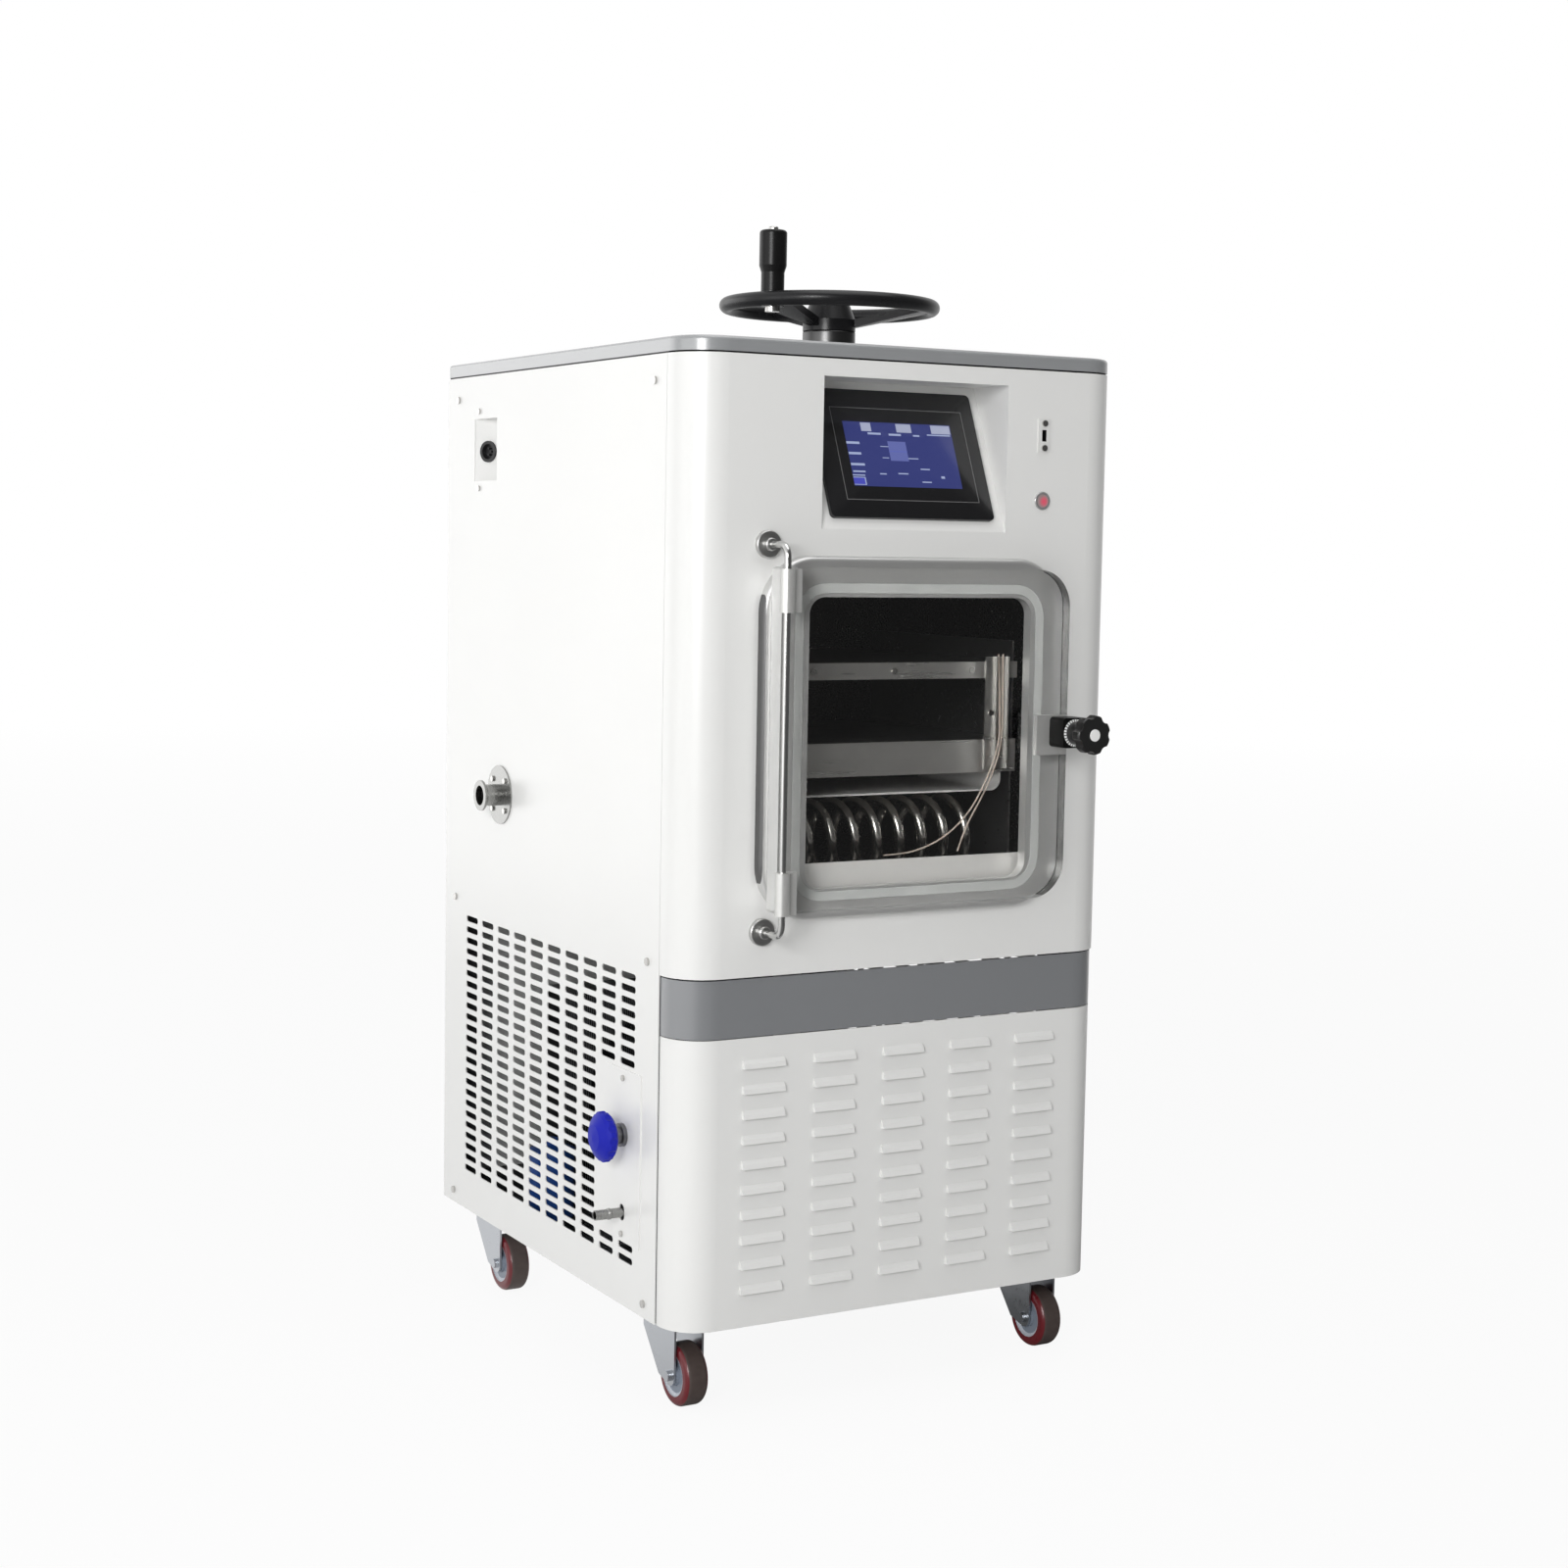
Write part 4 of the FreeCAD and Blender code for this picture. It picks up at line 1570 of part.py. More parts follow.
def make_drain():
    """Valve plate, drain valve with its knob, and the hose tail below it."""
    face = -half_wide - d.valve_plate_thick
    half = d.valve_plate_wide / 2
    plate = box("valve_sheet", (face, valve_y - half, d.valve_plate_low),
                (-half_wide, valve_y + half, d.valve_plate_high))
    slot_r, slot_half = d.barb_slot_wide / 2, (d.barb_slot_tall - d.barb_slot_wide) / 2
    deep = d.valve_plate_thick + 2
    tools = [rod("valve_hole", (face - 1, valve_y, d.valve_z), d.valve_thread + d.thread_clear, deep, "x"),
             rod("slot_top", (face - 1, valve_y, d.barb_z + slot_half), slot_r, deep, "x"),
             rod("slot_bottom", (face - 1, valve_y, d.barb_z - slot_half), slot_r, deep, "x"),
             box("slot_mid", (face - 1, valve_y - slot_r, d.barb_z - slot_half),
                 (-half_wide + 1, valve_y + slot_r, d.barb_z + slot_half))]
    large, small, inner = screw_places()
    tools += [screw_hole(f"valve_screw_hole_{index}", point, facing, d.small_shank, d.small_long)
              for index, (point, facing) in enumerate(small[:2], start=1)]
    keep("valve_plate", cut("valve_plate_cut", plate, tools))
    block_x = -half_wide + d.block_front
    block = box("drain_block", (block_x, valve_y - d.block_half, d.block_low),
                (block_x + d.block_deep, valve_y + d.block_half, d.block_high))
    neck = rod("drain_neck", (face, valve_y, d.valve_z), d.valve_thread, block_x - face + 1, "x")
    bonnet = [rod("drain_flange", (face - d.bonnet_flange_thick, valve_y, d.valve_z), d.bonnet_flange,
                  d.bonnet_flange_thick, "x"),
              rod("drain_bonnet", (face - d.bonnet_flange_thick - d.bonnet_long, valve_y, d.valve_z),
                  d.bonnet_radius, d.bonnet_long + 1, "x")]
    outer_end = face - d.bonnet_flange_thick - d.bonnet_long
    bore = rod("drain_bore", (outer_end - 1, valve_y, d.valve_z), d.drain_spindle + d.run_clear,
               d.drain_spindle_in + 2, "x")
    barb_end = block_x + d.block_deep / 2
    barb_bore = rod("barb_seat", (block_x - 1, valve_y, d.barb_z), d.barb_radius + d.run_clear,
                    d.block_deep / 2 + 1, "x")
    keep("drain_valve", cut("drain_cut", fuse("drain_solid", [block, neck] + bonnet), [bore, barb_bore]))
    make_drain_knob(outer_end)
    tip = -half_wide - d.barb_out
    length = barb_end - tip
    profile = [(d.barb_bore, 0), (d.barb_radius, 0), (d.barb_radius, 16), (d.barb_ring, 17),
               (d.barb_ring, 19.5), (d.barb_radius, 20.5), (d.barb_radius, length), (d.barb_bore, length)]
    keep("hose_tail", turned("barb", profile, (tip, valve_y, d.barb_z), "x"))


def make_drain_knob(outer_end):
    body = new_body("drain_wheel")
    near, far = d.drain_near, d.drain_far
    shoulder = (far - near) * 0.45
    inner = outer_end + half_wide + d.drain_spindle_in
    profile = [(0, -inner), (d.drain_spindle, -inner), (d.drain_spindle, near - 3), (12, near - 3),
               (12, near), (d.drain_radius - 4, near), (d.drain_radius, near + 4),
               (d.drain_radius, near + shoulder), (d.drain_radius * 0.86, near + shoulder + 4),
               (d.drain_radius * 0.5, far - 2), (0, far)]
    sketch = outlined(body, "drain_profile", "XZ_Plane", [profile])
    spin = feature(body, "Revolution", "drain_spin", sketch)
    spin.ReferenceAxis = (sketch, ["V_Axis"])
    spin.Angle = 360
    centre = d.drain_radius + d.drain_scallop * 0.72
    scallop = outlined(body, "drain_scallop_plan", "XY_Plane", [], [((centre, 0), d.drain_scallop)])
    doc.recompute()
    before = body.Shape.Volume
    groove = feature(body, "Pocket", "drain_scallop_cut", scallop)
    groove.Type = "ThroughAll"
    groove.Midplane = True
    check_grew(body, before, grows=False)
    repeated(body, "drain_lobe_ring", groove, (sketch, ["V_Axis"]), d.drain_lobes)
    place(body, (-half_wide, valve_y, d.valve_z), FACING["-x"])
    keep("drain_knob", body)


# ---- machinery -----------------------------------------------------------------------------------

def make_machinery():
    foot = pan_top
    comp_y = rear_face - d.comp_in
    filter_x, filter_y = -inner_x + d.filter_in_x, rear_face - d.filter_in_y
    box_back = rear_face - d.box_in
    can = [(0, 0), (d.comp_radius * 0.8, 0), (d.comp_radius, 14), (d.comp_radius, d.comp_tall, d.comp_round),
           (0, d.comp_tall)]
    body = turned("comp_can", can, (d.comp_x, comp_y, foot + d.comp_foot))
    reach = d.comp_radius * 0.78
    feet = [rod(f"comp_foot_{a}_{b}", (d.comp_x + reach * a, comp_y + reach * b, foot), 12, d.comp_foot)
            for a in (-1, 1) for b in (-1, 1)]
    plate = box("comp_plate", (d.comp_x - reach - 14, comp_y - reach - 14, foot + d.comp_foot - 1),
                (d.comp_x + reach + 14, comp_y + reach + 14, foot + d.comp_foot + 3))
    keep("compressor", fuse("comp", [body, plate] + feet))
    filter_profile = [(0, 0), (8, 0), (8, 8), (d.filter_radius, 14), (d.filter_radius, d.filter_tall - 14),
                      (8, d.filter_tall - 8), (8, d.filter_tall), (0, d.filter_tall)]
    keep("liquid_filter", turned("filter", filter_profile, (filter_x, filter_y, foot)))
    keep("control_box", box("control", (d.box_left, box_back - d.box_long, d.box_low),
                            (inner_x, box_back, d.box_high)))
    make_air_condenser()


def make_air_condenser():
    """Finned air condenser on the base pan, a shroud in front of it, and a fan on its motor."""
    low, high = pan_top, pan_top + d.rad_tall
    rad_front = rear_face - d.rad_in
    core = box("rad_core", (d.rad_left, rad_front, low), (d.rad_right, rad_front + d.rad_thick, high))
    mid_x, mid_z = (d.rad_left + d.rad_right) / 2, (low + high) / 2
    deep = d.fan_deep + 14
    shroud_front = rad_front - deep
    outer = box("shroud_block", (d.rad_left, shroud_front, low), (d.rad_right, rad_front, high))
    wall = d.shroud_thick
    inner = box("shroud_core", (d.rad_left + wall, shroud_front + wall, low + wall),
                (d.rad_right - wall, rad_front + 1, high - wall))
    hole = rod("shroud_hole", (mid_x, shroud_front - 1, mid_z), d.fan_radius + d.fan_clear, wall + 2, "y")
    shroud = cut("shroud", outer, [inner, hole])
    fan_front = shroud_front + 6
    motor_back = fan_front - 4
    motor_front = motor_back - d.motor_long
    motor = rod("fan_motor", (mid_x, motor_front, mid_z), d.motor_radius, d.motor_long, "y")
    shaft = rod("motor_shaft", (mid_x, motor_back - 1, mid_z), d.fan_shaft, d.fan_deep, "y")
    leg = box("motor_leg", (mid_x - 15, motor_front + 8, low), (mid_x + 15, motor_front + 11, mid_z))
    keep("air_condenser", group("air_condenser_set", [core, shroud, fuse("motor", [motor, shaft, leg])]))
    keep("fan", shaped("fan_rotor", fan_shape(mid_x, fan_front, mid_z)))


def fan_shape(mid_x, front, mid_z):
    """A hub with pitched blades, bored for its shaft."""
    centre = Vector(float(mid_x), float(front), float(mid_z))
    along = Vector(0, 1, 0)
    hub_radius, deep = float(d.fan_hub), float(d.fan_deep)
    solid = Part.makeCylinder(hub_radius, deep, centre, along)
    span = float(d.fan_radius) - hub_radius + 4
    for index in range(int(float(d.fan_blades))):
        blade = Part.makeBox(62, 2, span, Vector(-31, -1, hub_radius - 4))
        blade = blade.makeFillet(18, [edge for edge in blade.Edges
                                      if edge.BoundBox.ZMin > hub_radius and edge.BoundBox.ZLength < 1
                                      and edge.BoundBox.XLength < 1])
        blade.rotate(Vector(0, 0, 0), Vector(0, 0, 1), 20)
        blade.rotate(Vector(0, 0, 0), Vector(0, 1, 0), 360 / float(d.fan_blades) * index)
        blade.translate(centre + along * (deep / 2))
        solid = solid.fuse(blade)
    reach = float(d.fan_radius)
    solid = solid.common(Part.makeCylinder(reach, deep, centre, along))
    bore = Part.makeCylinder(float(d.fan_shaft + d.run_clear), deep + 2, centre - along, along)
    return solid.cut(bore).removeSplitter()


# ---- casters -------------------------------------------------------------------------------------

def make_casters():
    """Four swivel casters: plate with kingpin, fork with axle, and a wheel with its tyre."""
    under = d.base_height
    race_top = under - d.plate_thick
    race_low = race_top - d.race_tall
    crown_high = race_low - d.soft_clear
    crown_low = crown_high - d.crown_thick
    plates = []
    out_x, out_y = half_wide - d.caster_in_x, rear_face - d.caster_in_y
    for end, y in (("front", -out_y), ("rear", out_y)):
        for side, x in (("left", -out_x), ("right", out_x)):
            key = f"{end}_{side}"
            plates.append(caster_plate(key, x, y, race_top, race_low, crown_low))
            keep(f"fork_{key}", caster_fork(key, x, y, crown_low, crown_high))
            keep(f"wheel_{key}", caster_wheel(key, x, y))
    keep("caster_plates", group("caster_plate_set", plates))


def caster_plate(key, x, y, race_top, race_low, crown_low):
    half_x, half_y = d.plate_wide / 2, d.plate_long / 2
    head_high = crown_low - d.soft_clear
    pieces = [box(f"plate_{key}", (x - half_x, y - half_y, race_top), (x + half_x, y + half_y, d.base_height)),
              rod(f"race_{key}", (x, y, race_low), d.race_radius, d.race_tall),
              rod(f"king_{key}", (x, y, head_high), d.king_radius, race_top - head_high),
              rod(f"king_head_{key}", (x, y, head_high - d.king_head_tall), d.king_head, d.king_head_tall)]
    bolt_x, bolt_y = half_x - 9, half_y - 10
    pieces += [rod(f"plate_bolt_{key}_{a}_{b}", (x + bolt_x * a, y + bolt_y * b, race_top - d.plate_bolt_tall),
                   d.plate_bolt, d.plate_bolt_tall) for a in (-1, 1) for b in (-1, 1)]
    return fuse(f"caster_plate_{key}", pieces)


def caster_fork(key, x, y, crown_low, crown_high):
    """Pressed fork: its side view is padded across, then the wheel's slot is cut out of it."""
    body = new_body(f"fork_body_{key}")
    half = d.fork_gap / 2 + d.fork_sheet
    axle_y, axle_z = -d.caster_trail, d.wheel_radius
    drop = crown_high - axle_z
    side = [(-d.fork_front, crown_high), (-d.fork_front, axle_z),
            (axle_y + d.axle_boss * 0.34, axle_z - d.axle_boss * 0.94), (0, axle_z - drop * 0.09),
            (d.fork_rear, axle_z + drop * 0.71), (d.fork_rear, crown_high)]
    sketch = outlined(body, f"fork_side_{key}", "YZ_Plane", [side])
    feature(body, "Pad", f"fork_pad_{key}", sketch, Length=half * 2, Midplane=True)
    eye = outlined(body, f"fork_eye_{key}", "YZ_Plane", [], [((axle_y, axle_z), d.axle_boss)])
    feature(body, "Pad", f"fork_eye_pad_{key}", eye, Length=half * 2, Midplane=True)
    gap = d.fork_gap / 2
    slot = outlined(body, f"fork_slot_{key}", "XZ_Plane",
                    [[(-gap, -1), (gap, -1), (gap, crown_low), (-gap, crown_low)]])
    pocketed(body, f"fork_gap_{key}", slot)
    king = outlined(body, f"fork_king_{key}", "XY_Plane", [], [((0, 0), d.king_radius + d.run_clear)])
    pocketed(body, f"fork_king_hole_{key}", king)
    pin = outlined(body, f"fork_pin_{key}", "YZ_Plane", [], [((axle_y, axle_z), d.axle_radius + d.run_clear)])
    pocketed(body, f"fork_pin_hole_{key}", pin)
    place(body, (x, y, 0))
    outer = half + d.axle_head_tall
    axle = fuse(f"axle_{key}", [
        rod(f"axle_bar_{key}", (x - outer, y + axle_y, axle_z), d.axle_radius, outer * 2, "x"),
        rod(f"axle_head_{key}", (x - outer, y + axle_y, axle_z), d.axle_head, d.axle_head_tall, "x"),
        rod(f"axle_nut_{key}", (x + half, y + axle_y, axle_z), d.axle_head, d.axle_head_tall, "x")])
    return group(f"fork_set_{key}", [body, axle])


def caster_wheel(key, x, y):
    half_tyre, half_hub = d.wheel_width / 2, d.hub_width / 2
    bore = d.axle_radius + d.run_clear
    centre = (x, y - d.caster_trail, d.wheel_radius)
    hub = turned(f"hub_{key}", [(bore, -half_hub), (12, -half_hub), (13, -half_hub + 4),
                                (d.hub_rim - 3, -half_hub + 4), (d.hub_rim - 1, -half_tyre + 1),
                                (d.hub_rim, -half_tyre + 1), (d.hub_rim, half_tyre - 1),
                                (d.hub_rim - 1, half_tyre - 1), (d.hub_rim - 3, half_hub - 4),
                                (13, half_hub - 4), (12, half_hub), (bore, half_hub)], centre, "x")
    tyre = turned(f"tyre_{key}", [(d.hub_rim, -half_tyre), (d.wheel_radius, -half_tyre, d.tyre_edge),
                                  (d.wheel_radius, half_tyre, d.tyre_edge), (d.hub_rim, half_tyre)],
                  centre, "x")
    return group(f"wheel_set_{key}", [hub, tyre])


# ---- build, check, write -------------------------------------------------------------------------

def check_and_write():
    doc.recompute()
    bad = [item.Name for item in doc.Objects
           if any(word in ("Invalid", "Error") for word in item.State)]
    if bad:
        raise RuntimeError(f"failed objects: {bad}")
    for node, item in parts:
        shape = item.Shape
        if shape.isNull() or not shape.isValid() or not shape.Solids:
            raise RuntimeError(f"{node}: its shape is empty or not valid")
    os.makedirs("parts", exist_ok=True)
    for node, item in parts:
        item.Shape.exportStep(f"parts/{node}.step")
        print(f"{node}: {len(item.Shape.Solids)} solid(s), {item.Shape.Volume / 1000:.1f} cm3")
    print(len(parts), "nodes")


large_holes, small_holes, inner_holes = make_screws()
make_frame(large_holes)
make_base_pan()
make_front_panels()
make_side_and_rear_panels(large_holes, small_holes)
make_cover()
make_display()
make_button_and_port()
make_chamber()
make_flange()
make_rack(inner_holes)
make_condenser()
make_probe_wires()
make_door()
make_hinge()
make_latch()
make_press()
make_handwheel()
make_socket()
make_vacuum_port()
make_drain()
make_machinery()
make_casters()
check_and_write()
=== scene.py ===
# %% [markdown]
# # A floor-standing freeze dryer, finished in Blender
#
# The machine is a sheet-metal cabinet on casters. It has a vacuum chamber behind a clear door, a
# touch display, a handwheel press on top and a refrigeration bay below. The measured model gives
# every plate and tube at its real size. This lesson gives each of them its finish, adds the few
# fine pieces that are too small for the measured model, and sets up a plain studio.

# %% Load the measured model
import math
import bmesh
import bpy
import numpy as np
from mathutils import Matrix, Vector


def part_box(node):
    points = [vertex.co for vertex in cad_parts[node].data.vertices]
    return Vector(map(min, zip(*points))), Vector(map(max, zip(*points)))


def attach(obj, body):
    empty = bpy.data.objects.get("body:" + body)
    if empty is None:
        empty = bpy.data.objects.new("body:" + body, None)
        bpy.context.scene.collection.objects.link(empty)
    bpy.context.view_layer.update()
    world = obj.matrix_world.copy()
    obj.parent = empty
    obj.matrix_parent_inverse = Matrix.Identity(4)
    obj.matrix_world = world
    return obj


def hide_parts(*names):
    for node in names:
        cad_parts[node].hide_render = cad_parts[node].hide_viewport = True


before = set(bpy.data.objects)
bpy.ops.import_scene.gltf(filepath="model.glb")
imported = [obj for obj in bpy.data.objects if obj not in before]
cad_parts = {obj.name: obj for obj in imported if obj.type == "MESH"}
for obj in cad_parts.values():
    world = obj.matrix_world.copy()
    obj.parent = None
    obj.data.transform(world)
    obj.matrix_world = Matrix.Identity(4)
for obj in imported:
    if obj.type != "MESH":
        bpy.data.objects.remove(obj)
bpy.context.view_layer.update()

MM = 0.001
print("pieces in the measured model:", len(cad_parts))

# %% [markdown]
# ## The camera
#
# The machine is seen from a little above its middle and from its left, from about three metres
# away. A camera looks along its own -Z axis, so its turn is the matrix whose columns are its right,
# its up and its backward directions. The view is held a degree off level, as a hand-held camera is,
# and the lens is shifted slightly, which frames the machine without tilting the camera further.

# %% Place the camera
CAMERA_PLACE = (-1.6000, -2.8532, 1.0166)
YAW, PITCH, ROLL = math.radians(29.462), math.radians(-4.876), math.radians(0.998)
SENSOR_WIDTH = 36.0
LENS = 57.84
LENS_SHIFT = (0.0081, -0.0178)
VIEW_REACH = 200.0



def standing(right, up, backward, place):
    """The matrix of a thing at a place, whose X, Y and Z axes point right, up and backward."""
    turn = np.eye(4)
    turn[:3, 0], turn[:3, 1], turn[:3, 2], turn[:3, 3] = right, up, backward, place
    return Matrix(turn.tolist())


forward = np.array([math.sin(YAW) * math.cos(PITCH), math.cos(YAW) * math.cos(PITCH), math.sin(PITCH)])
level_right = np.array([math.cos(YAW), -math.sin(YAW), 0.0])
level_up = np.cross(level_right, forward)
right = math.cos(ROLL) * level_right + math.sin(ROLL) * level_up
up = math.cos(ROLL) * level_up - math.sin(ROLL) * level_right

camera_data = bpy.data.cameras.new("camera")
camera_data.sensor_width = SENSOR_WIDTH
camera_data.lens = LENS
camera_data.shift_x, camera_data.shift_y = LENS_SHIFT
camera_data.clip_end = VIEW_REACH
camera = bpy.data.objects.new("camera", camera_data)
bpy.context.scene.collection.objects.link(camera)
camera.matrix_world = standing(right, up, -forward, CAMERA_PLACE)
bpy.context.scene.camera = camera
print("camera looks along", np.round(forward, 3))

# %% [markdown]
# ## Words for shader maths
#
# A material is a tree of nodes, and a long sum of Math nodes is hard to read. So one small class
# wraps a socket and gives it Python's own operators: each sum, product or comparison adds the Math
# node that works it out. A second class holds a tree and adds every other kind of node with one
# method, which sets a node's choices first and then its sockets.

# %% A socket that can be added and multiplied
class Value:
    """A number or colour that varies over a surface; its operators add Math nodes."""

    def __init__(self, tree, socket):
        self.tree, self.socket = tree, socket

    def math(self, operation, first, second=0.0, third=0.0):
        return self.tree.add("ShaderNodeMath", {"operation": operation}, {0: first, 1: second, 2: third})

    def __add__(self, other):
        return self.math("ADD", self, other)

    def __sub__(self, other):
        return self.math("SUBTRACT", self, other)

    def __rsub__(self, other):
        return self.math("SUBTRACT", other, self)

    def __mul__(self, other):
        return self.math("MULTIPLY", self, other)

    def __truediv__(self, other):
        return self.math("DIVIDE", self, other)

    def __gt__(self, other):
        return self.math("GREATER_THAN", self, other)

    def __lt__(self, other):
        return self.math("LESS_THAN", self, other)

    __radd__, __rmul__ = __add__, __mul__

    def sine(self):
        return self.math("SINE", self)

    def size(self):
        return self.math("ABSOLUTE", self)

    def root(self):
        return self.math("SQRT", self)

    def most(self, other):
        return self.math("MAXIMUM", self, other)

    def least(self, other):
        return self.math("MINIMUM", self, other)

    def within(self, low, high):
        """1 where the value lies from low to high, 0 outside."""
        return (self - (low + high) / 2).size() < (high - low) / 2


class Tree:
    """The node tree of a material or of the world."""

    def __init__(self, tree):
        self.tree = tree
        tree.nodes.clear()

    def add(self, kind, choices=None, sockets=None, output=0):
        """Adds a node: its choices are set first, then the values or links of its sockets."""
        node = self.tree.nodes.new(kind)
        for name, choice in (choices or {}).items():
            if name == "stops":
                self.set_stops(node.color_ramp, choice)
            else:
                setattr(node, name, choice)
        for name, value in (sockets or {}).items():
            if isinstance(value, Value):
                self.tree.links.new(value.socket, node.inputs[name])
            else:
                node.inputs[name].default_value = value
        return Value(self, node.outputs[output]) if len(node.outputs) else node

    def set_stops(self, ramp, stops):
        while len(ramp.elements) < len(stops):
            ramp.elements.new(0.5)
        for element, (place, colour) in zip(ramp.elements, stops):
            element.position, element.color = place, colour

    def blend(self, factor, first, second):
        """The first colour where the factor is 0, the second where it is 1."""
        return self.add("ShaderNodeMix", {"data_type": "RGBA"}, {0: factor, 6: first, 7: second}, 2)

    def parts(self, vector):
        """The X, Y and Z of a vector, as three values."""
        node = self.tree.nodes.new("ShaderNodeSeparateXYZ")
        self.tree.links.new(vector.socket, node.inputs[0])
        return [Value(self, output) for output in node.outputs]


print("shader words ready")

# %% [markdown]
# ## One recipe for every finish
#
# Paint, steel, rubber and moulding differ in colour, gloss and grain, and they share the same
# shader. So one class makes a material, offers the noises and coordinates that a finish is made
# of, and ends in a Principled shader. Coordinates are the machine's own, in metres, so that a
# grain keeps its real size on every piece.

# %% A finish and its helpers
def grey(level):
    return (level, level, level, 1.0)


def colour(red, green, blue):
    """A colour as linear red, green and blue, with full cover."""
    return (red, green, blue, 1.0)


class Finish(Tree):
    """A material whose last node is one Principled shader."""

    def __init__(self, name):
        self.material = bpy.data.materials.new(name)
        self.material.use_nodes = True
        super().__init__(self.material.node_tree)
        self.place = self.add("ShaderNodeTexCoord", output=3)

    def stretched(self, scale, centre=(0.0, 0.0, 0.0)):
        """The place on the machine, measured from a centre and scaled along each axis."""
        moved = [-c * s for c, s in zip(centre, scale)]
        return self.add("ShaderNodeMapping", {}, {"Vector": self.place, "Location": moved, "Scale": scale})

    def noise(self, scale, detail=2.0, where=None):
        """Smooth random values around 0.5, with this many bumps for each metre."""
        sockets = {"Vector": where or self.place, "Scale": scale, "Detail": detail}
        return self.add("ShaderNodeTexNoise", {}, sockets)

    def bump(self, height, deep, strength=1.0):
        """The surface's direction where this height, from 0 to 1, stands this many metres deep."""
        return self.add("ShaderNodeBump", {}, {"Height": height, "Distance": deep, "Strength": strength})

    def done(self, **sockets):
        """Sets the shader's sockets, whose names are written with _ for a space."""
        named = {name.replace("_", " "): value for name, value in sockets.items()}
        shader = self.add("ShaderNodeBsdfPrincipled", {}, named)
        self.add("ShaderNodeOutputMaterial", {}, {"Surface": shader})
        return self.material


print("finish recipe ready")

# %% [markdown]
# ## Painted sheet metal
#
# The cabinet is folded sheet with a baked powder coat. The powder melts into a skin with a fine
# orange peel about a millimetre across, a little uneven in gloss. A fine bump gives the peel and
# two slow noises vary the colour and the gloss by a few parts in a hundred. A clear coat over it
# gives the sharper reflection that the grey parts show most.

# %% Paints
def scaled(tone, share):
    """A colour with its red, green and blue multiplied by a share."""
    return tuple(channel * share for channel in tone[:3]) + (1.0,)


def paint(name, tone, gloss_low, gloss_high, peel=0.00002, coat=0.0, coat_index=1.5, clouding=0.965):
    """Powder coat or enamel; peel is the depth of its bumps in metres."""
    finish = Finish(name)
    cloud = finish.noise(3.0)
    peel_height = finish.noise(650.0, 1.0)
    return finish.done(
        Base_Color=finish.blend(cloud, scaled(tone, clouding), tone),
        Roughness=gloss_low + (gloss_high - gloss_low) * finish.noise(9.0),
        Normal=finish.bump(peel_height, peel),
        Coat_Weight=coat,
        Coat_IOR=coat_index,
        Coat_Roughness=0.26)


finishes = {
    "panel_white": paint("white powder coat", colour(0.80, 0.80, 0.785), 0.30, 0.40, coat=0.5),
    "panel_grey": paint("grey powder coat", colour(0.215, 0.222, 0.232), 0.26, 0.34, coat=1.0,
                        coat_index=1.75),
    # The cover is painted a lighter grey than the band: painted light, for the stronger light on the
    # cover.
    "lit_cover_grey": paint("grey cover painted lighter", colour(0.285, 0.293, 0.30), 0.26, 0.34, coat=1.0,
                        coat_index=1.75),
    "frame_steel": paint("dark primer", colour(0.035, 0.036, 0.038), 0.5, 0.65, 0.00005),
    "compressor_black": paint("black enamel", colour(0.012, 0.012, 0.014), 0.22, 0.34),
    "filter_blue": paint("blue enamel", colour(0.02, 0.10, 0.42), 0.25, 0.35),
}
paint_count = len(finishes)
print("paints:", sorted(finishes))

# %% [markdown]
# ## Bright metals
#
# Rolled sheet and turned parts carry fine lines from the tools that made them. Noise that is
# squeezed hard across one axis and drawn out along another looks just like those lines, and it
# drives both the gloss and a very shallow bump. Cast and plated parts have a finer, even grain.
# The outer sides of the flange and the shelf sheet behind its bent lip are painted dark grey, as
# painted shade. A lower metallic share keeps a plate pale where it mirrors the dark.

# %% Steels
LINE_SHADE = 0.86
# Painted shade: the dark grey given to the flange's outer sides and to the shelf sheet behind its lip.
PAINTED_SHADE_GREY = colour(0.12, 0.12, 0.12)
FLANGE_SIDE = 0.2035
SHELF_LIP = -0.298
EVEN_GRAIN = (300.0, 300.0, 300.0)
TURNED_GRAIN = (60.0, 60.0, 900.0)


def metal(name, tone, gloss, grain=(3.0, 700.0, 700.0), spread=0.10, deep=0.000012, metallic=1.0,
          shaded_part=None):
    """Streaky metal; shaded_part tells from X, Y and Z where a dark grey is painted as shade."""
    finish = Finish(name)
    lines = finish.noise(1.0, 3.0, finish.stretched(grain))
    smear = finish.noise(14.0, 2.0)
    shade = finish.blend(lines * 0.6 + smear * 0.4, scaled(tone, LINE_SHADE), tone)
    # Painted shade: the part picked out here takes a flat dark grey.
    if shaded_part:
        shade = finish.blend(shaded_part(*finish.parts(finish.place)), shade, PAINTED_SHADE_GREY)
    return finish.done(
        Base_Color=shade,
        Metallic=metallic,
        Roughness=(lines * 0.7 + smear * 0.3) * spread * 2 + (gloss - spread),
        Normal=finish.bump(lines, deep))


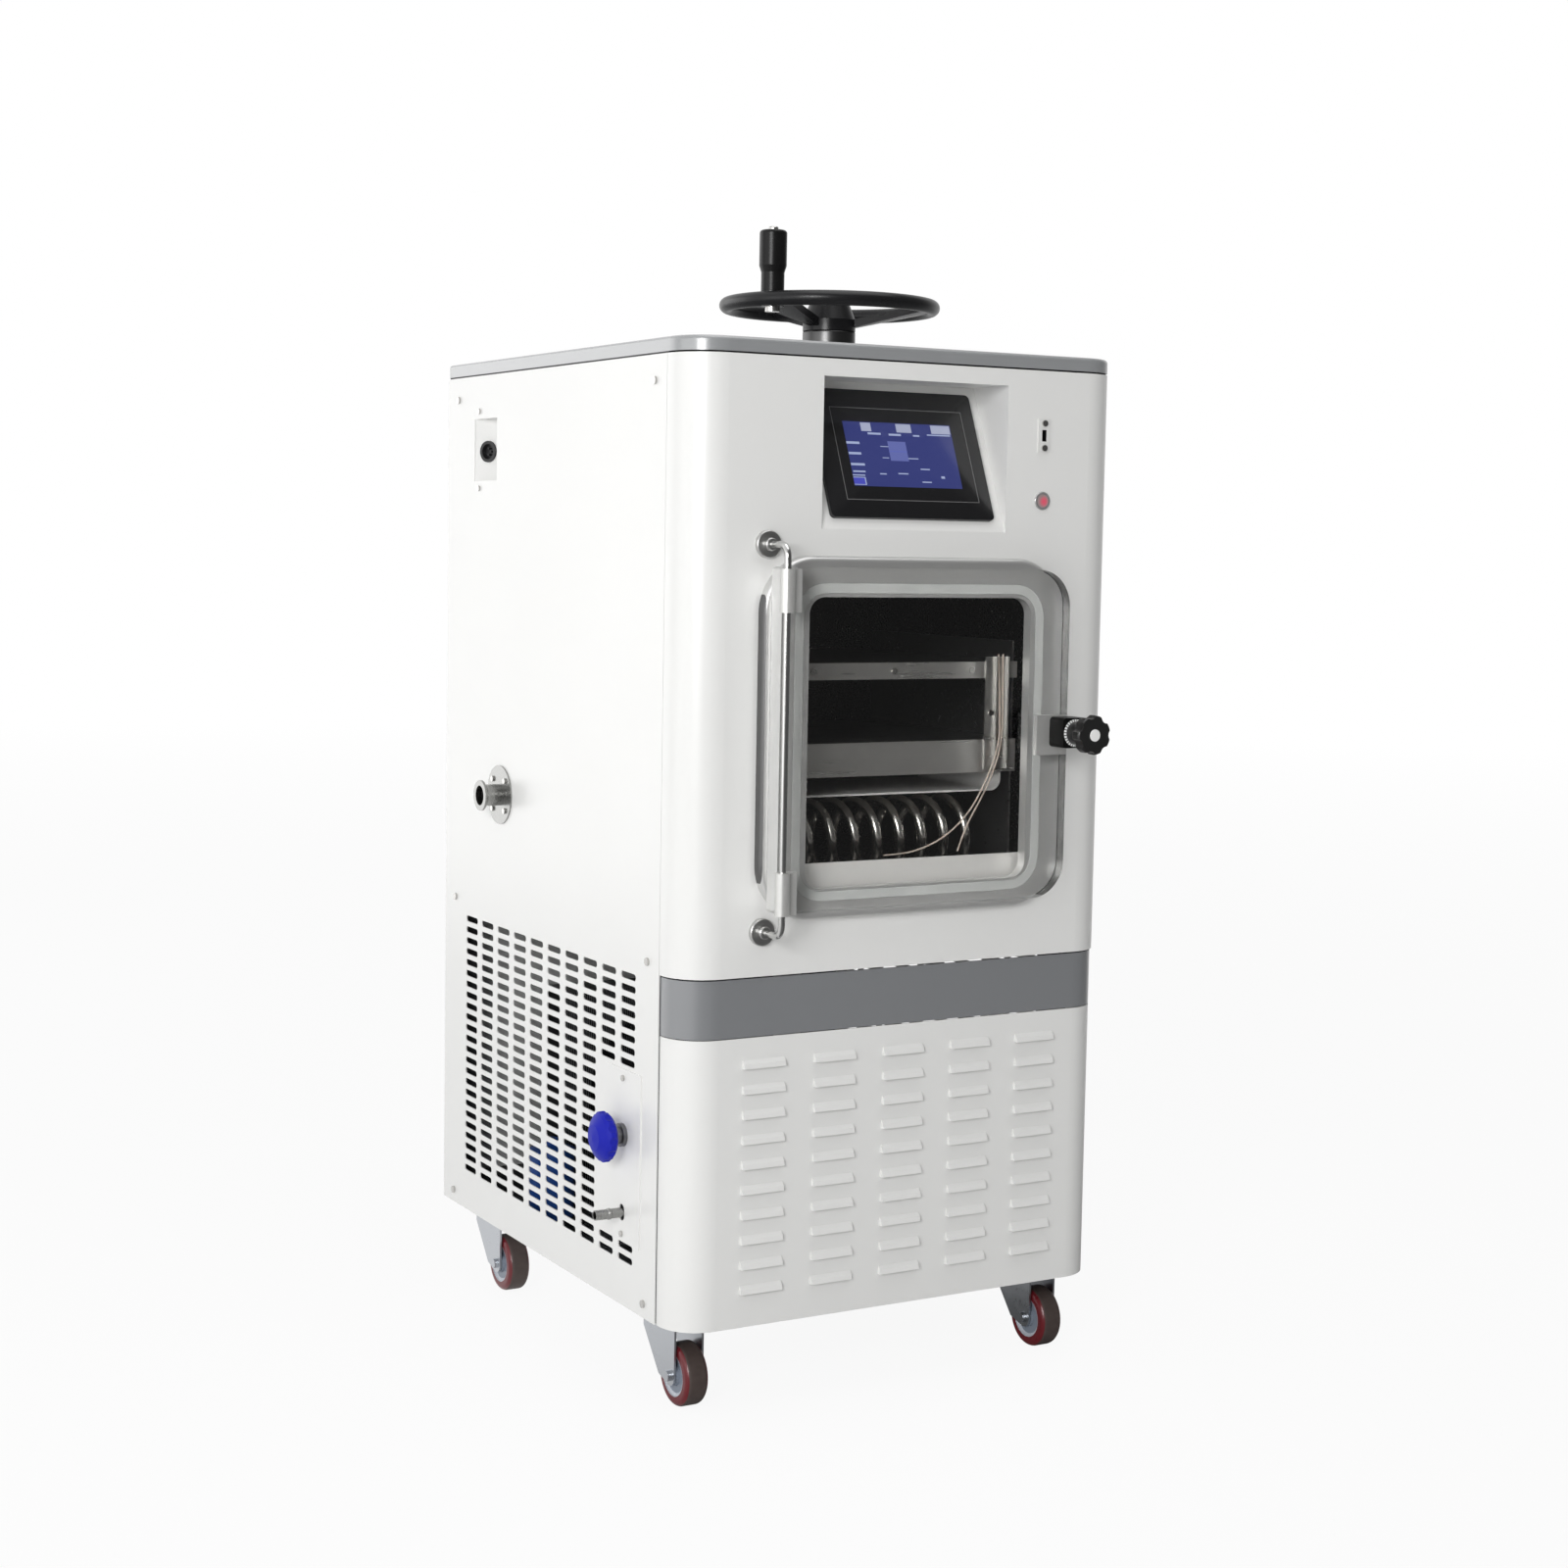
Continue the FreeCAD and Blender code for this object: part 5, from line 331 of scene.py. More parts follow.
finishes.update({
    "stainless": metal("brushed stainless", colour(0.56, 0.555, 0.54), 0.27),
    "weir_steel": metal("bright weir plate", colour(0.80, 0.79, 0.77), 0.40, spread=0.06,
                        metallic=0.25),
    # Painted shade: the chamber's inside gets a far darker steel tone than the rest.
    "chamber_wall": metal("chamber stainless painted dark", colour(0.16, 0.155, 0.15), 0.26,
                          (5.0, 300.0, 300.0)),
    # The flange's rounded outer sides, beyond FLANGE_SIDE, are painted dark grey as shade.
    "flange_steel": metal("polished flange", colour(0.68, 0.68, 0.67), 0.33, (9.0, 120.0, 60.0),
                          0.12, metallic=0.65, shaded_part=lambda x, y, z: x.size() > FLANGE_SIDE),
    "bright_steel": metal("turned stainless", colour(0.66, 0.66, 0.65), 0.16, TURNED_GRAIN, 0.06),
    "bright_fixings": metal("nickel fixings", colour(0.60, 0.59, 0.57), 0.22, EVEN_GRAIN, 0.08),
    # The shelf sheet behind its lip is painted dark grey as shade.
    "shelf_steel": metal("shelf sheet", colour(0.60, 0.59, 0.57), 0.30, (3.0, 200.0, 200.0),
                         metallic=0.88, shaded_part=lambda x, y, z: y > SHELF_LIP),
    "clip_steel": metal("bright clips", colour(0.74, 0.74, 0.72), 0.32, (200.0, 200.0, 200.0),
                        0.08, metallic=0.6),
    "pipe_steel": metal("dull pipe ends", colour(0.36, 0.36, 0.35), 0.26, (500.0, 60.0, 60.0)),
    "boss_steel": metal("turned boss", colour(0.62, 0.62, 0.61), 0.34, (500.0, 500.0, 500.0)),
    "button_ring": metal("chrome ring", colour(0.62, 0.62, 0.62), 0.22, (200.0, 200.0, 200.0),
                         0.05, metallic=0.7),
    "collar_steel": metal("blackened collar", colour(0.11, 0.11, 0.11), 0.34, TURNED_GRAIN, 0.06),
    "zinc_steel": metal("zinc plate", colour(0.55, 0.57, 0.60), 0.30, (120.0, 120.0, 120.0), 0.12),
    "coil_tube": metal("evaporator tube", colour(0.60, 0.58, 0.55), 0.20, (90.0, 90.0, 90.0), 0.08),
})
print("metals:", len(finishes) - paint_count)

# %% [markdown]
# ## Rubber, plastic and acrylic
#
# The door is one thick pane of acrylic, so it is real glass-like material: it bends what is seen
# through it. Along its hinge edge a white, mirror-like strip is painted as a highlight, and along its
# free edge a dark strip is painted as shade. The shader finds both by how far a place lies from the
# pane's outline. A lamp can't shine through such a material in a short render, so rays that carry
# light pass straight on, a little dimmed.
#
# Rubber and mouldings share one recipe. Black mouldings are never one flat black: handling
# polishes them, and mould flow leaves faint clouds in the gloss.

# %% Mouldings, rubber and the clear door
def moulding(name, tone, gloss_low, gloss_high, texture=900.0, deep=0.00001, coat=0.0, sheen=0.5):
    """Rubber or plastic; sheen is the strength of its mirror reflection, and 0.5 is the usual."""
    finish = Finish(name)
    flow = finish.noise(22.0, 3.0)
    paler = tuple(min(1.0, channel * 1.25 + 0.002) for channel in tone[:3]) + (1.0,)
    return finish.done(
        Base_Color=finish.blend(flow, tone, paler),
        Roughness=gloss_low + (gloss_high - gloss_low) * flow,
        Normal=finish.bump(finish.noise(texture, 1.0), deep),
        Specular_IOR_Level=sheen,
        Coat_Weight=coat,
        Coat_Roughness=0.12)


EDGE_SKIN = 0.0005
# Widths and colours of the edge strips: painted highlight at the hinge edge, painted shade at the free
# edge.
HIGHLIGHT_STRIP = 0.02
SHADE_STRIP = 0.03
HIGHLIGHT_WHITE = colour(0.985, 0.985, 0.975)
SHADE_DARK = grey(0.09)
EDGE_MIRROR = 0.8
SHADE_STRIP_GLOSS = 0.15


def clear_acrylic(name, node, corner_round, index=1.49, shade=0.95, haze=0.5):
    """Clear pane whose outline is a rectangle with rounded corners, seen along Y."""
    finish = Finish(name)
    low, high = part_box(node)
    x, y, z = finish.parts(finish.place)
    aside = ((x - (low.x + high.x) / 2).size() - (high.x - low.x) / 2 + corner_round).most(0.0)
    above = ((z - (low.z + high.z) / 2).size() - (high.z - low.z) / 2 + corner_round).most(0.0)
    edge = (aside * aside + above * above).root() > corner_round - EDGE_SKIN
    # Painted light: a white, mirror-like strip along the hinge edge stands for a highlight, and a dark
    # strip along the free edge for shade.
    highlight_edge, shade_edge = edge * (x < low.x + HIGHLIGHT_STRIP), edge * (x > high.x - SHADE_STRIP)
    wave = finish.bump(finish.noise(6.0, 1.0), 0.00002)
    pane = finish.add("ShaderNodeBsdfPrincipled", {}, {
        "Base Color": finish.blend(shade_edge, HIGHLIGHT_WHITE, SHADE_DARK),
        "Metallic": (highlight_edge + shade_edge) * EDGE_MIRROR,
        "Roughness": highlight_edge * haze + shade_edge * SHADE_STRIP_GLOSS,
        "IOR": index,
        "Transmission Weight": 1.0,
        "Normal": wave})
    open_way = finish.add("ShaderNodeBsdfTransparent", {}, {"Color": grey(shade)})
    light_ray = finish.add("ShaderNodeLightPath", output=1)
    mixed = finish.add("ShaderNodeMixShader", {}, {0: light_ray, 1: pane, 2: open_way})
    finish.add("ShaderNodeOutputMaterial", {}, {"Surface": mixed})
    return finish.material


finishes.update({
    "door_acrylic": clear_acrylic("clear acrylic", "door_panel", 0.044),
    "gasket_rubber": moulding("silicone seal", colour(0.44, 0.45, 0.44), 0.38, 0.5),
    "knob_black": moulding("phenolic knob", colour(0.010, 0.010, 0.010), 0.24, 0.36, coat=0.4),
    "wheel_black": moulding("phenolic handwheel", colour(0.009, 0.009, 0.010), 0.22, 0.36, sheen=0.32),
    "valve_black": metal("valve bonnet", colour(0.22, 0.22, 0.225), 0.34, EVEN_GRAIN),
    "drain_blue": moulding("blue knob", colour(0.010, 0.014, 0.33), 0.40, 0.52, sheen=0.15),
    "housing_black": moulding("latch housing", colour(0.004, 0.004, 0.004), 0.30, 0.42, sheen=0.12),
    "grip_black": moulding("crank grip", colour(0.006, 0.006, 0.006), 0.24, 0.34, sheen=0.2),
    "socket_black": moulding("socket insert", colour(0.013, 0.013, 0.014), 0.35, 0.5),
    "display_black": moulding("display bezel", colour(0.008, 0.008, 0.009), 0.20, 0.28),
    "fan_plastic": moulding("fan moulding", colour(0.025, 0.025, 0.027), 0.4, 0.55),
    "box_plastic": moulding("control box", colour(0.50, 0.51, 0.52), 0.45, 0.6, 400.0, 0.00008),
})
print("mouldings added, finishes so far:", len(finishes))

# %% [markdown]
# ## Caster wheels
#
# Each wheel is a pale moulded hub with a red polyurethane tyre cast round it. Both are one piece
# in the measured model, so the finish tells them apart by the distance from the axle. The flanks of
# the tyre are glossy, and its tread is dull and grey-brown where it has rolled on the floor.

# %% One finish for each wheel
HUB_EDGE = 0.0255
HUB_RIM = 0.004
TREAD_EDGE = 0.0345
TREAD_SHARE = 0.72


def wheel_finish(name, axle_y, axle_z, middle_x, half_wide):
    finish = Finish(name)
    x, y, z = finish.parts(finish.place)
    across, rise = y - axle_y, z - axle_z
    reach = (across * across + rise * rise).root()
    tyre = reach > HUB_EDGE
    rim = reach.within(HUB_EDGE - HUB_RIM, HUB_EDGE)
    tread = (reach > TREAD_EDGE) * ((x - middle_x).size() < half_wide * TREAD_SHARE)
    scuff = finish.noise(90.0, 4.0)
    hub = finish.blend(rim, colour(0.20, 0.23, 0.28), colour(0.50, 0.53, 0.58))
    flank = finish.blend(scuff, colour(0.115, 0.008, 0.012), colour(0.15, 0.013, 0.018))
    worn = finish.blend(scuff, colour(0.045, 0.030, 0.026), colour(0.085, 0.062, 0.055))
    rubber = finish.blend(tread, flank, worn)
    return finish.done(
        Base_Color=finish.blend(tyre, hub, rubber),
        Roughness=0.24 + 0.34 * tread + 0.1 * scuff,
        Normal=finish.bump(finish.noise(500.0, 2.0), 0.00003))


wheel_finishes = {}
for corner in ("front_left", "front_right", "rear_left", "rear_right"):
    low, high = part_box("wheel_" + corner)
    centre = (low + high) / 2
    wheel_finishes["wheel_" + corner] = wheel_finish(
        "wheel " + corner.replace("_", " "), centre.y, centre.z, centre.x, (high.x - low.x) / 2)
print("wheel finishes:", len(wheel_finishes))

# %% [markdown]
# ## The lit start button and the air condenser
#
# The start button is a translucent cap over a red lamp: its middle glows and its edge is darker, so
# the glow falls off with the distance from a point a little aside of its centre, where the lamp
# sits. The data port is a small painted plate, and its slot is painted dark, as the shade in its
# opening. The air condenser is a pack of thin fins.
# Two hundred modelled fins would cost far more than they show, so stripes of pale fins and of gaps
# painted dark as shade, with a bump of their own, stand for them on the measured block.

# %% Button lamp, data port and fins
GLOW_ASIDE, GLOW_BELOW = 0.25, 0.1
GLOW_FALL = 1.3
SLOT_HALF_WIDE, SLOT_HALF_TALL = 0.0031, 0.0069


def lamp_button(name, node):
    """A glowing cap; the glow is 1 - fall * (distance / cap radius) squared, and never below 0."""
    low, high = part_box(node)
    centre, edge = (low + high) / 2, (high.x - low.x) / 2
    finish = Finish(name)
    x, y, z = finish.parts(finish.place)
    aside, rise = x - (centre.x + edge * GLOW_ASIDE), z - (centre.z - edge * GLOW_BELOW)
    reach = (aside * aside + rise * rise).root() / edge
    glow = (1.0 - reach * reach * GLOW_FALL).most(0.0)
    return finish.done(
        Base_Color=finish.blend(glow, colour(0.36, 0.27, 0.27), colour(0.60, 0.09, 0.13)),
        Roughness=0.3 + 0.05 * finish.noise(60.0),
        Emission_Color=finish.blend(glow, grey(0.0), colour(0.16, 0.01, 0.03)),
        Emission_Strength=1.0)


def port_finish(name, node):
    """A painted plate round a slot painted dark as shade: the slot is the middle of the plate."""
    low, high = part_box(node)
    finish = Finish(name)
    x, y, z = finish.parts(finish.place)
    middle_x, middle_z = (low.x + high.x) / 2, (low.z + high.z) / 2
    # Painted shade: a flat near-black slot stands for the shade in the port's opening.
    slot = (x.within(middle_x - SLOT_HALF_WIDE, middle_x + SLOT_HALF_WIDE)
            * z.within(middle_z - SLOT_HALF_TALL, middle_z + SLOT_HALF_TALL))
    return finish.done(
        Base_Color=finish.blend(slot, colour(0.72, 0.72, 0.705), grey(0.006)),
        Roughness=0.36 + 0.08 * finish.noise(60.0))


def finned(name, pitch=0.0032):
    """Stripes across X: each pitch holds one pale fin and one gap painted dark as shade."""
    finish = Finish(name)
    x, y, z = finish.parts(finish.place)
    # Painted shade: the dark half of each stripe is the shade between two fins.
    fins = ((x * (2 * math.pi / pitch)).sine() + 1.0) / 2
    return finish.done(
        Base_Color=finish.blend(fins, colour(0.03, 0.03, 0.032), colour(0.26, 0.265, 0.27)),
        Metallic=0.9,
        Roughness=0.34 + 0.1 * finish.noise(30.0),
        Normal=finish.bump(fins, 0.0006))


finishes["button_red"] = lamp_button("lit button cap", "power_button")
finishes["fin_aluminium"] = finned("aluminium fins")
finishes["probe_braid"] = moulding("probe sleeve", colour(0.5, 0.4, 0.3), 0.5, 0.6)
print("finishes:", len(finishes))

# %% [markdown]
# ## Give every measured piece its finish
#
# The measured pieces arrive with one material for each kind of surface. Each is swapped for the
# finish of the same name. The wheels and some single pieces differ from their kind and have a
# finish of their own, such as the chamber's inside, whose dark tone is painted shade. The probe
# wires keep a plain finish here, because the braided sleeves made below stand in their place.

# %% Assign the finishes
own_finish = dict(wheel_finishes)
own_finish.update({
    "chamber_shell": finishes["chamber_wall"], "top_cover": finishes["lit_cover_grey"],
    "screw_collar": finishes["collar_steel"], "condenser_guards": finishes["weir_steel"],
    "shelf_rack": finishes["shelf_steel"], "probe_bracket": finishes["shelf_steel"],
    "latch_plate": finishes["clip_steel"], "hinge_barrels": finishes["clip_steel"],
    "latch_housing": finishes["housing_black"], "crank_grip": finishes["grip_black"],
    "vacuum_port": finishes["pipe_steel"], "hose_tail": finishes["pipe_steel"],
    "hinge_bosses": finishes["boss_steel"], "usb_port": port_finish("data port", "usb_port")})
for node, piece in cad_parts.items():
    for slot in piece.material_slots:
        kind = slot.material.name.split(".")[0]
        slot.material = own_finish.get(node) or finishes[kind]
print("finished pieces:", len(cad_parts))

# %% [markdown]
# ## Surfaces from arrays
#
# The fine pieces are surfaces worked out with numpy. A surface is a grid of points, row by row, and
# every four neighbours make a face. Where a grid closes on itself, its first and last points fall
# on each other and are merged, so that no seam stays open.

# %% A grid of points made into a piece
WELD_REACH = 0.000002
CREASE = math.radians(35)


def surface(name, points, finish, body, across=None):
    """A mesh from points[row, column]; across, if given, is a UV pair for each grid point."""
    rows, columns = points.shape[:2]
    index = np.arange(rows * columns).reshape(rows, columns)
    faces = np.stack([index[:-1, :-1], index[:-1, 1:], index[1:, 1:], index[1:, :-1]], -1).reshape(-1, 4)
    mesh = bpy.data.meshes.new(name)
    mesh.from_pydata(points.reshape(-1, 3), [], faces)
    if across is not None:
        layer = mesh.uv_layers.new(name="surface")
        layer.data.foreach_set("uv", across.reshape(-1, 2)[faces.ravel()].astype(np.float32).ravel())
    welded = bmesh.new()
    welded.from_mesh(mesh)
    bmesh.ops.remove_doubles(welded, verts=welded.verts, dist=WELD_REACH)
    bmesh.ops.recalc_face_normals(welded, faces=welded.faces)
    welded.to_mesh(mesh)
    welded.free()
    mesh.polygons.foreach_set("use_smooth", np.ones(len(mesh.polygons), bool))
    mesh.set_sharp_from_angle(angle=CREASE)
    mesh.materials.append(finish)
    piece = bpy.data.objects.new(name, mesh)
    bpy.context.scene.collection.objects.link(piece)
    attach(piece, body)
    print(name, "faces:", len(mesh.polygons))
    return piece


def lathe(profile, origin, axis, ring_points=96):
    """Points of a profile of (radius, distance along the axis) turned about the axis.

    At the angle a, a profile point lies at origin + distance * axis + radius * (cos a, sin a).
    """
    axis = np.array(axis, float)
    side = np.cross(axis, (0.0, 0.0, 1.0) if abs(axis[2]) < 0.9 else (1.0, 0.0, 0.0))
    side /= np.linalg.norm(side)
    other = np.cross(axis, side)
    angle = np.linspace(0.0, 2 * math.pi, ring_points + 1)
    radius = np.array([point[0] for point in profile])[:, None, None]
    along = np.array([point[1] for point in profile])[:, None, None]
    ring = np.cos(angle)[:, None] * side + np.sin(angle)[:, None] * other
    return np.array(origin, float) + along * axis + radius * ring


# %% [markdown]
# ## The display's front film
#
# The display unit is a black bezel with a printed film over it: a thin grey frame line, and inside
# it the lit panel. The film is a shallow slab with rounded corners, so its rim catches light. What
# the panel shows is drawn by the film's own finish, from plain rectangles placed in metres on the
# film's UV map: status boxes on top, a column of values on the left and the chamber in the middle.

# %% Build the film
LEAN = math.radians(23.0)
FILM_WIDE, FILM_TALL = 0.2236, 0.1611
FILM_ROUND = 0.005
FILM_THICK = 0.0003
FILM_RIM = 0.0003
FILM_GAP = 0.00002
BEZEL_TALL = 0.1635

low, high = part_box("touch_display")
up_slope = np.array([0.0, math.sin(LEAN), math.cos(LEAN)])
off_slope = np.array([0.0, -math.cos(LEAN), math.sin(LEAN)])
# The unit's highest point is the top edge of its front face, and its foremost is the foot.
bezel_foot = np.array([(low.x + high.x) / 2, low.y, high.z - BEZEL_TALL * up_slope[2]])


def rounded_outline(half_wide, half_tall, radius, corner_points=9):
    """A closed rounded rectangle: four quarter circles about its inner corners."""
    quarter = np.linspace(0.0, math.pi / 2, corner_points)
    turns = np.concatenate([quarter + k * math.pi / 2 for k in range(4)])
    side_x = np.repeat([1, -1, -1, 1], corner_points) * (half_wide - radius)
    side_y = np.repeat([1, 1, -1, -1], corner_points) * (half_tall - radius)
    outline = np.stack([side_x + radius * np.cos(turns), side_y + radius * np.sin(turns)], -1)
    return np.vstack([outline, outline[:1]])


def film_points():
    """Rings of the rounded outline: back, front rim, drawn in by the rim, and the middle point."""
    rings, flat = [], []
    for inset, rise in ((0.0, 0.0), (0.0, FILM_THICK * 0.6), (FILM_RIM, FILM_THICK), (None, FILM_THICK)):
        if inset is None:
            outline = np.zeros_like(flat[0])
        else:
            outline = rounded_outline(FILM_WIDE / 2 - inset, FILM_TALL / 2 - inset, FILM_ROUND - inset)
        flat.append(outline)
        slope = outline[:, 1] + BEZEL_TALL / 2
        rings.append(bezel_foot + outline[:, :1] * (1.0, 0.0, 0.0) + slope[:, None] * up_slope
                     + (rise + FILM_GAP) * off_slope)
    flat = np.array(flat)
    flat[..., 1] += BEZEL_TALL / 2
    return np.array(rings), flat


# %% Draw what the panel shows
# Each rectangle is left, right, bottom and top in millimetres, from the middle of the bezel's foot.
SCREEN = (-74.0, 76.0, 39.5, 122.0)
FRAME_LINE = (-88.0, 96.0, 22.0, 140.0)
LINE_WIDE = 0.7
DEEP_BLUE = colour(0.027, 0.036, 0.165)
PALE = colour(0.36, 0.42, 0.62)
WHITE_BOX = colour(0.37, 0.40, 0.53)
VESSEL = colour(0.115, 0.138, 0.38)
BUTTON_BLUE = colour(0.035, 0.04, 0.42)
screen_marks = [
    (-50, -36, 110, 121, WHITE_BOX), (-1, 20, 110, 121, WHITE_BOX), (48, 75, 110, 121, WHITE_BOX),
    (-42, -24, 106, 108.5, PALE), (-13, 4, 105.5, 108, PALE), (21, 30, 105.5, 107.5, PALE),
    (41, 74, 107.5, 109, PALE),
    (-74, -56, 93, 96, PALE), (-73.5, -56.5, 79.5, 82.5, PALE), (-73.5, -54.5, 65.5, 68.5, PALE),
    (-72.5, -55.5, 57, 59, PALE), (-77, -57, 52.5, 54, PALE),
    (-28, -16, 90.5, 91.5, PALE), (-28, -19, 76, 77, PALE), (7, 22, 76, 77.2, PALE),
    (-36, -27, 55, 56.5, PALE), (-10.5, 3.5, 56, 57.5, PALE), (22, 35, 62.5, 64, PALE),
    (21, 34, 46, 47.5, PALE), (49, 54, 52, 55, PALE),
    (-17, 8, 73, 98, VESSEL), (-17, 8, 84.5, 86, colour(0.10, 0.125, 0.42)),
    (-77, -57, 41, 51, PALE), (-76, -58.5, 41.8, 50, BUTTON_BLUE),
]


def film_finish():
    finish = Finish("display film")
    place = finish.add("ShaderNodeTexCoord", output=2)
    x, y, z = finish.parts(place)
    x, y = x * (1 / MM), y * (1 / MM)

    def inside(left, right, bottom, top):
        return x.within(left, right) * y.within(bottom, top)

    left, right, bottom, top = FRAME_LINE
    within_line = inside(left + LINE_WIDE, right - LINE_WIDE, bottom + LINE_WIDE, top - LINE_WIDE)
    line = inside(*FRAME_LINE) - within_line
    lit = inside(*SCREEN)
    # Faint level stripes, about 1.4 to a millimetre, stand for the panel's own rows.
    rows = 0.94 + 0.06 * (y * 9.0).sine()
    picture = finish.blend(finish.noise(12.0), colour(0.023, 0.031, 0.145), DEEP_BLUE)
    for left, right, bottom, top, tone in screen_marks:
        picture = finish.blend(inside(left, right, bottom, top) * rows, picture, tone)
    film = finish.blend(line, colour(0.009, 0.009, 0.010), colour(0.20, 0.20, 0.20))
    return finish.done(
        Base_Color=finish.blend(lit, film, colour(0.012, 0.013, 0.03)),
        Emission_Color=finish.blend(lit, grey(0.0), picture),
        Emission_Strength=1.0,
        Roughness=0.16 + 0.06 * finish.noise(20.0),
        Coat_Weight=0.3,
        Coat_Roughness=0.08)


points, across = film_points()
surface("display_film", points, film_finish(), "cabinet", across)

# %% [markdown]
# ## The star knob's cap and scale ring
#
# A white cap closes the front of the star knob, and a white scale ring lies round its neck where
# it enters the housing. Both are turned shapes: a profile of radius and height, swept round the
# knob's axis. The ring's dashes come from its finish, by the angle about the same axis.

# %% Cap and ring
star_low, star_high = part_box("star_knob")
knob_x = (star_low.x + star_high.x) / 2
housing_low, housing_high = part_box("latch_housing")
knob_z = (housing_low.z + housing_high.z) / 2
CAP_RADIUS = 0.0072
CAP_TALL = 0.0012
CAP_CROWN = 0.15
CAP_GAP = 0.00002

cap_profile = [(CAP_RADIUS, 0.0), (CAP_RADIUS, CAP_TALL * 0.5), (CAP_RADIUS * 0.95, CAP_TALL * 0.85)]
cap_profile += [(CAP_RADIUS * part, CAP_TALL * (1.0 - CAP_CROWN * part * part))
                for part in (0.8, 0.6, 0.4, 0.2, 0.0)]
cap_origin = (knob_x, star_low.y - CAP_GAP, knob_z)
cap_finish = paint("white cap", colour(0.86, 0.86, 0.85), 0.30, 0.40)
cap_points = lathe(cap_profile, cap_origin, (0, -1, 0))
surface("star_knob_cap", cap_points, cap_finish, "latch_knob")

RING_INNER, RING_OUTER, RING_THICK = 0.0137, 0.0164, 0.0014
RING_BEVEL = 0.0004
RING_GAP = 0.00005
GAP_LEVEL = -0.55


def scale_finish(dashes=28):
    """White paint with dark dashes, evenly spaced by the angle about the knob's axis."""
    finish = Finish("scale ring")
    x, y, z = finish.parts(finish.place)
    angle = finish.add("ShaderNodeMath", {"operation": "ARCTAN2"}, {0: z - knob_z, 1: x - knob_x})
    white = (angle * float(dashes)).sine() > GAP_LEVEL
    return finish.done(
        Base_Color=finish.blend(white, colour(0.02, 0.02, 0.02), colour(0.86, 0.86, 0.85)),
        Roughness=0.4 + 0.05 * finish.noise(200.0))


ring_profile = [(RING_INNER, 0.0), (RING_OUTER, 0.0), (RING_OUTER, RING_THICK * 0.7),
                (RING_OUTER - RING_BEVEL, RING_THICK), (RING_INNER, RING_THICK), (RING_INNER, 0.0)]
ring_origin = (knob_x, housing_low.y - RING_GAP, knob_z)
ring_points = lathe(ring_profile, ring_origin, (0, -1, 0))
surface("scale_ring", ring_points, scale_finish(), "door")

# %% [markdown]
# ## The temperature probes
#
# Two thin probe wires run out of their clip and down past the shelves towards the vials. Each is a
# braided sleeve of a known length, just stiff enough to hold its gentle curve. Its line is one
# smooth NURBS curve led by points that are listed, and a tube follows that curve. The
# sleeve is woven from pale and brown threads:
# two sets of stripes wound opposite ways, drawn on the tube's own UV map.

# %% Route of each probe wire
WIRE_RADIUS = 0.001
wire_routes = {
    "probe_wire_1": [
        (149.8, -305.4, 884), (151, -305.5, 860), (152.6, -305.4, 836), (153, -306.4, 812),
        (151.6, -309.9, 788), (144.8, -312.6, 763), (134.6, -314.2, 741), (122.4, -315.8, 720),
        (108.8, -317.2, 700), (90.6, -318.2, 681), (68, -318.7, 665), (41.5, -319, 653.5),
        (11.5, -319.2, 646.8), (-18, -319.4, 646.5)],
    "probe_wire_2": [
        (156.5, -305.4, 884), (157, -305.5, 859), (157.6, -305.4, 834), (157.3, -306.3, 809),
        (155.2, -308.8, 785), (150, -310.6, 762), (141.4, -311.6, 741), (131, -312.6, 721),
        (119.2, -313.6, 702.5), (106.8, -314.6, 684.5), (96.8, -315.4, 665.5), (89.2, -316, 646.5)],
}


def smooth_line(name, route):
    """The points of one open NURBS curve of order 3 whose control points are the route."""
    curve = bpy.data.curves.new(name, "CURVE")
    curve.dimensions = "3D"
    curve.resolution_u = 12
    spline = curve.splines.new("NURBS")
    spline.points.add(len(route) - 1)
    for point, place in zip(spline.points, route):
        point.co = [*(coordinate * MM for coordinate in place), 1.0]
    spline.order_u = 3
    spline.use_endpoint_u = True
    holder = bpy.data.objects.new(name, curve)
    line = bpy.data.meshes.new_from_object(holder)
    places = np.zeros(len(line.vertices) * 3)
    line.vertices.foreach_get("co", places)
    bpy.data.objects.remove(holder)
    return places.reshape(-1, 3)


def sleeve(line, radius, sides=10):
    """A tube about a line: each ring is centre + radius * (cos a * side + sin a * other)."""
    ahead = np.gradient(line, axis=0)
    ahead /= np.linalg.norm(ahead, axis=1)[:, None]
    side = np.cross(ahead, (0.0, 1.0, 0.0))
    side /= np.linalg.norm(side, axis=1)[:, None]
    other = np.cross(ahead, side)
    angle = np.linspace(0.0, 2 * math.pi, sides + 1)
    share = np.concatenate([[0.0], np.ones(len(line)), [0.0]]) * radius
    centre = np.vstack([line[:1], line, line[-1:]])
    side, other = (np.vstack([way[:1], way, way[-1:]]) for way in (side, other))
    ring = np.cos(angle)[:, None] * side[:, None] + np.sin(angle)[:, None] * other[:, None]
    steps = np.linalg.norm(np.diff(centre, axis=0), axis=1)
    run = np.concatenate([[0.0], np.cumsum(steps)])
    across = np.stack(np.broadcast_arrays(run[:, None], angle * radius), -1)
    return centre[:, None] + share[:, None, None] * ring, across, run[-1]


# %% Braid the sleeves and lay them
BROWN_LEVEL = 0.9


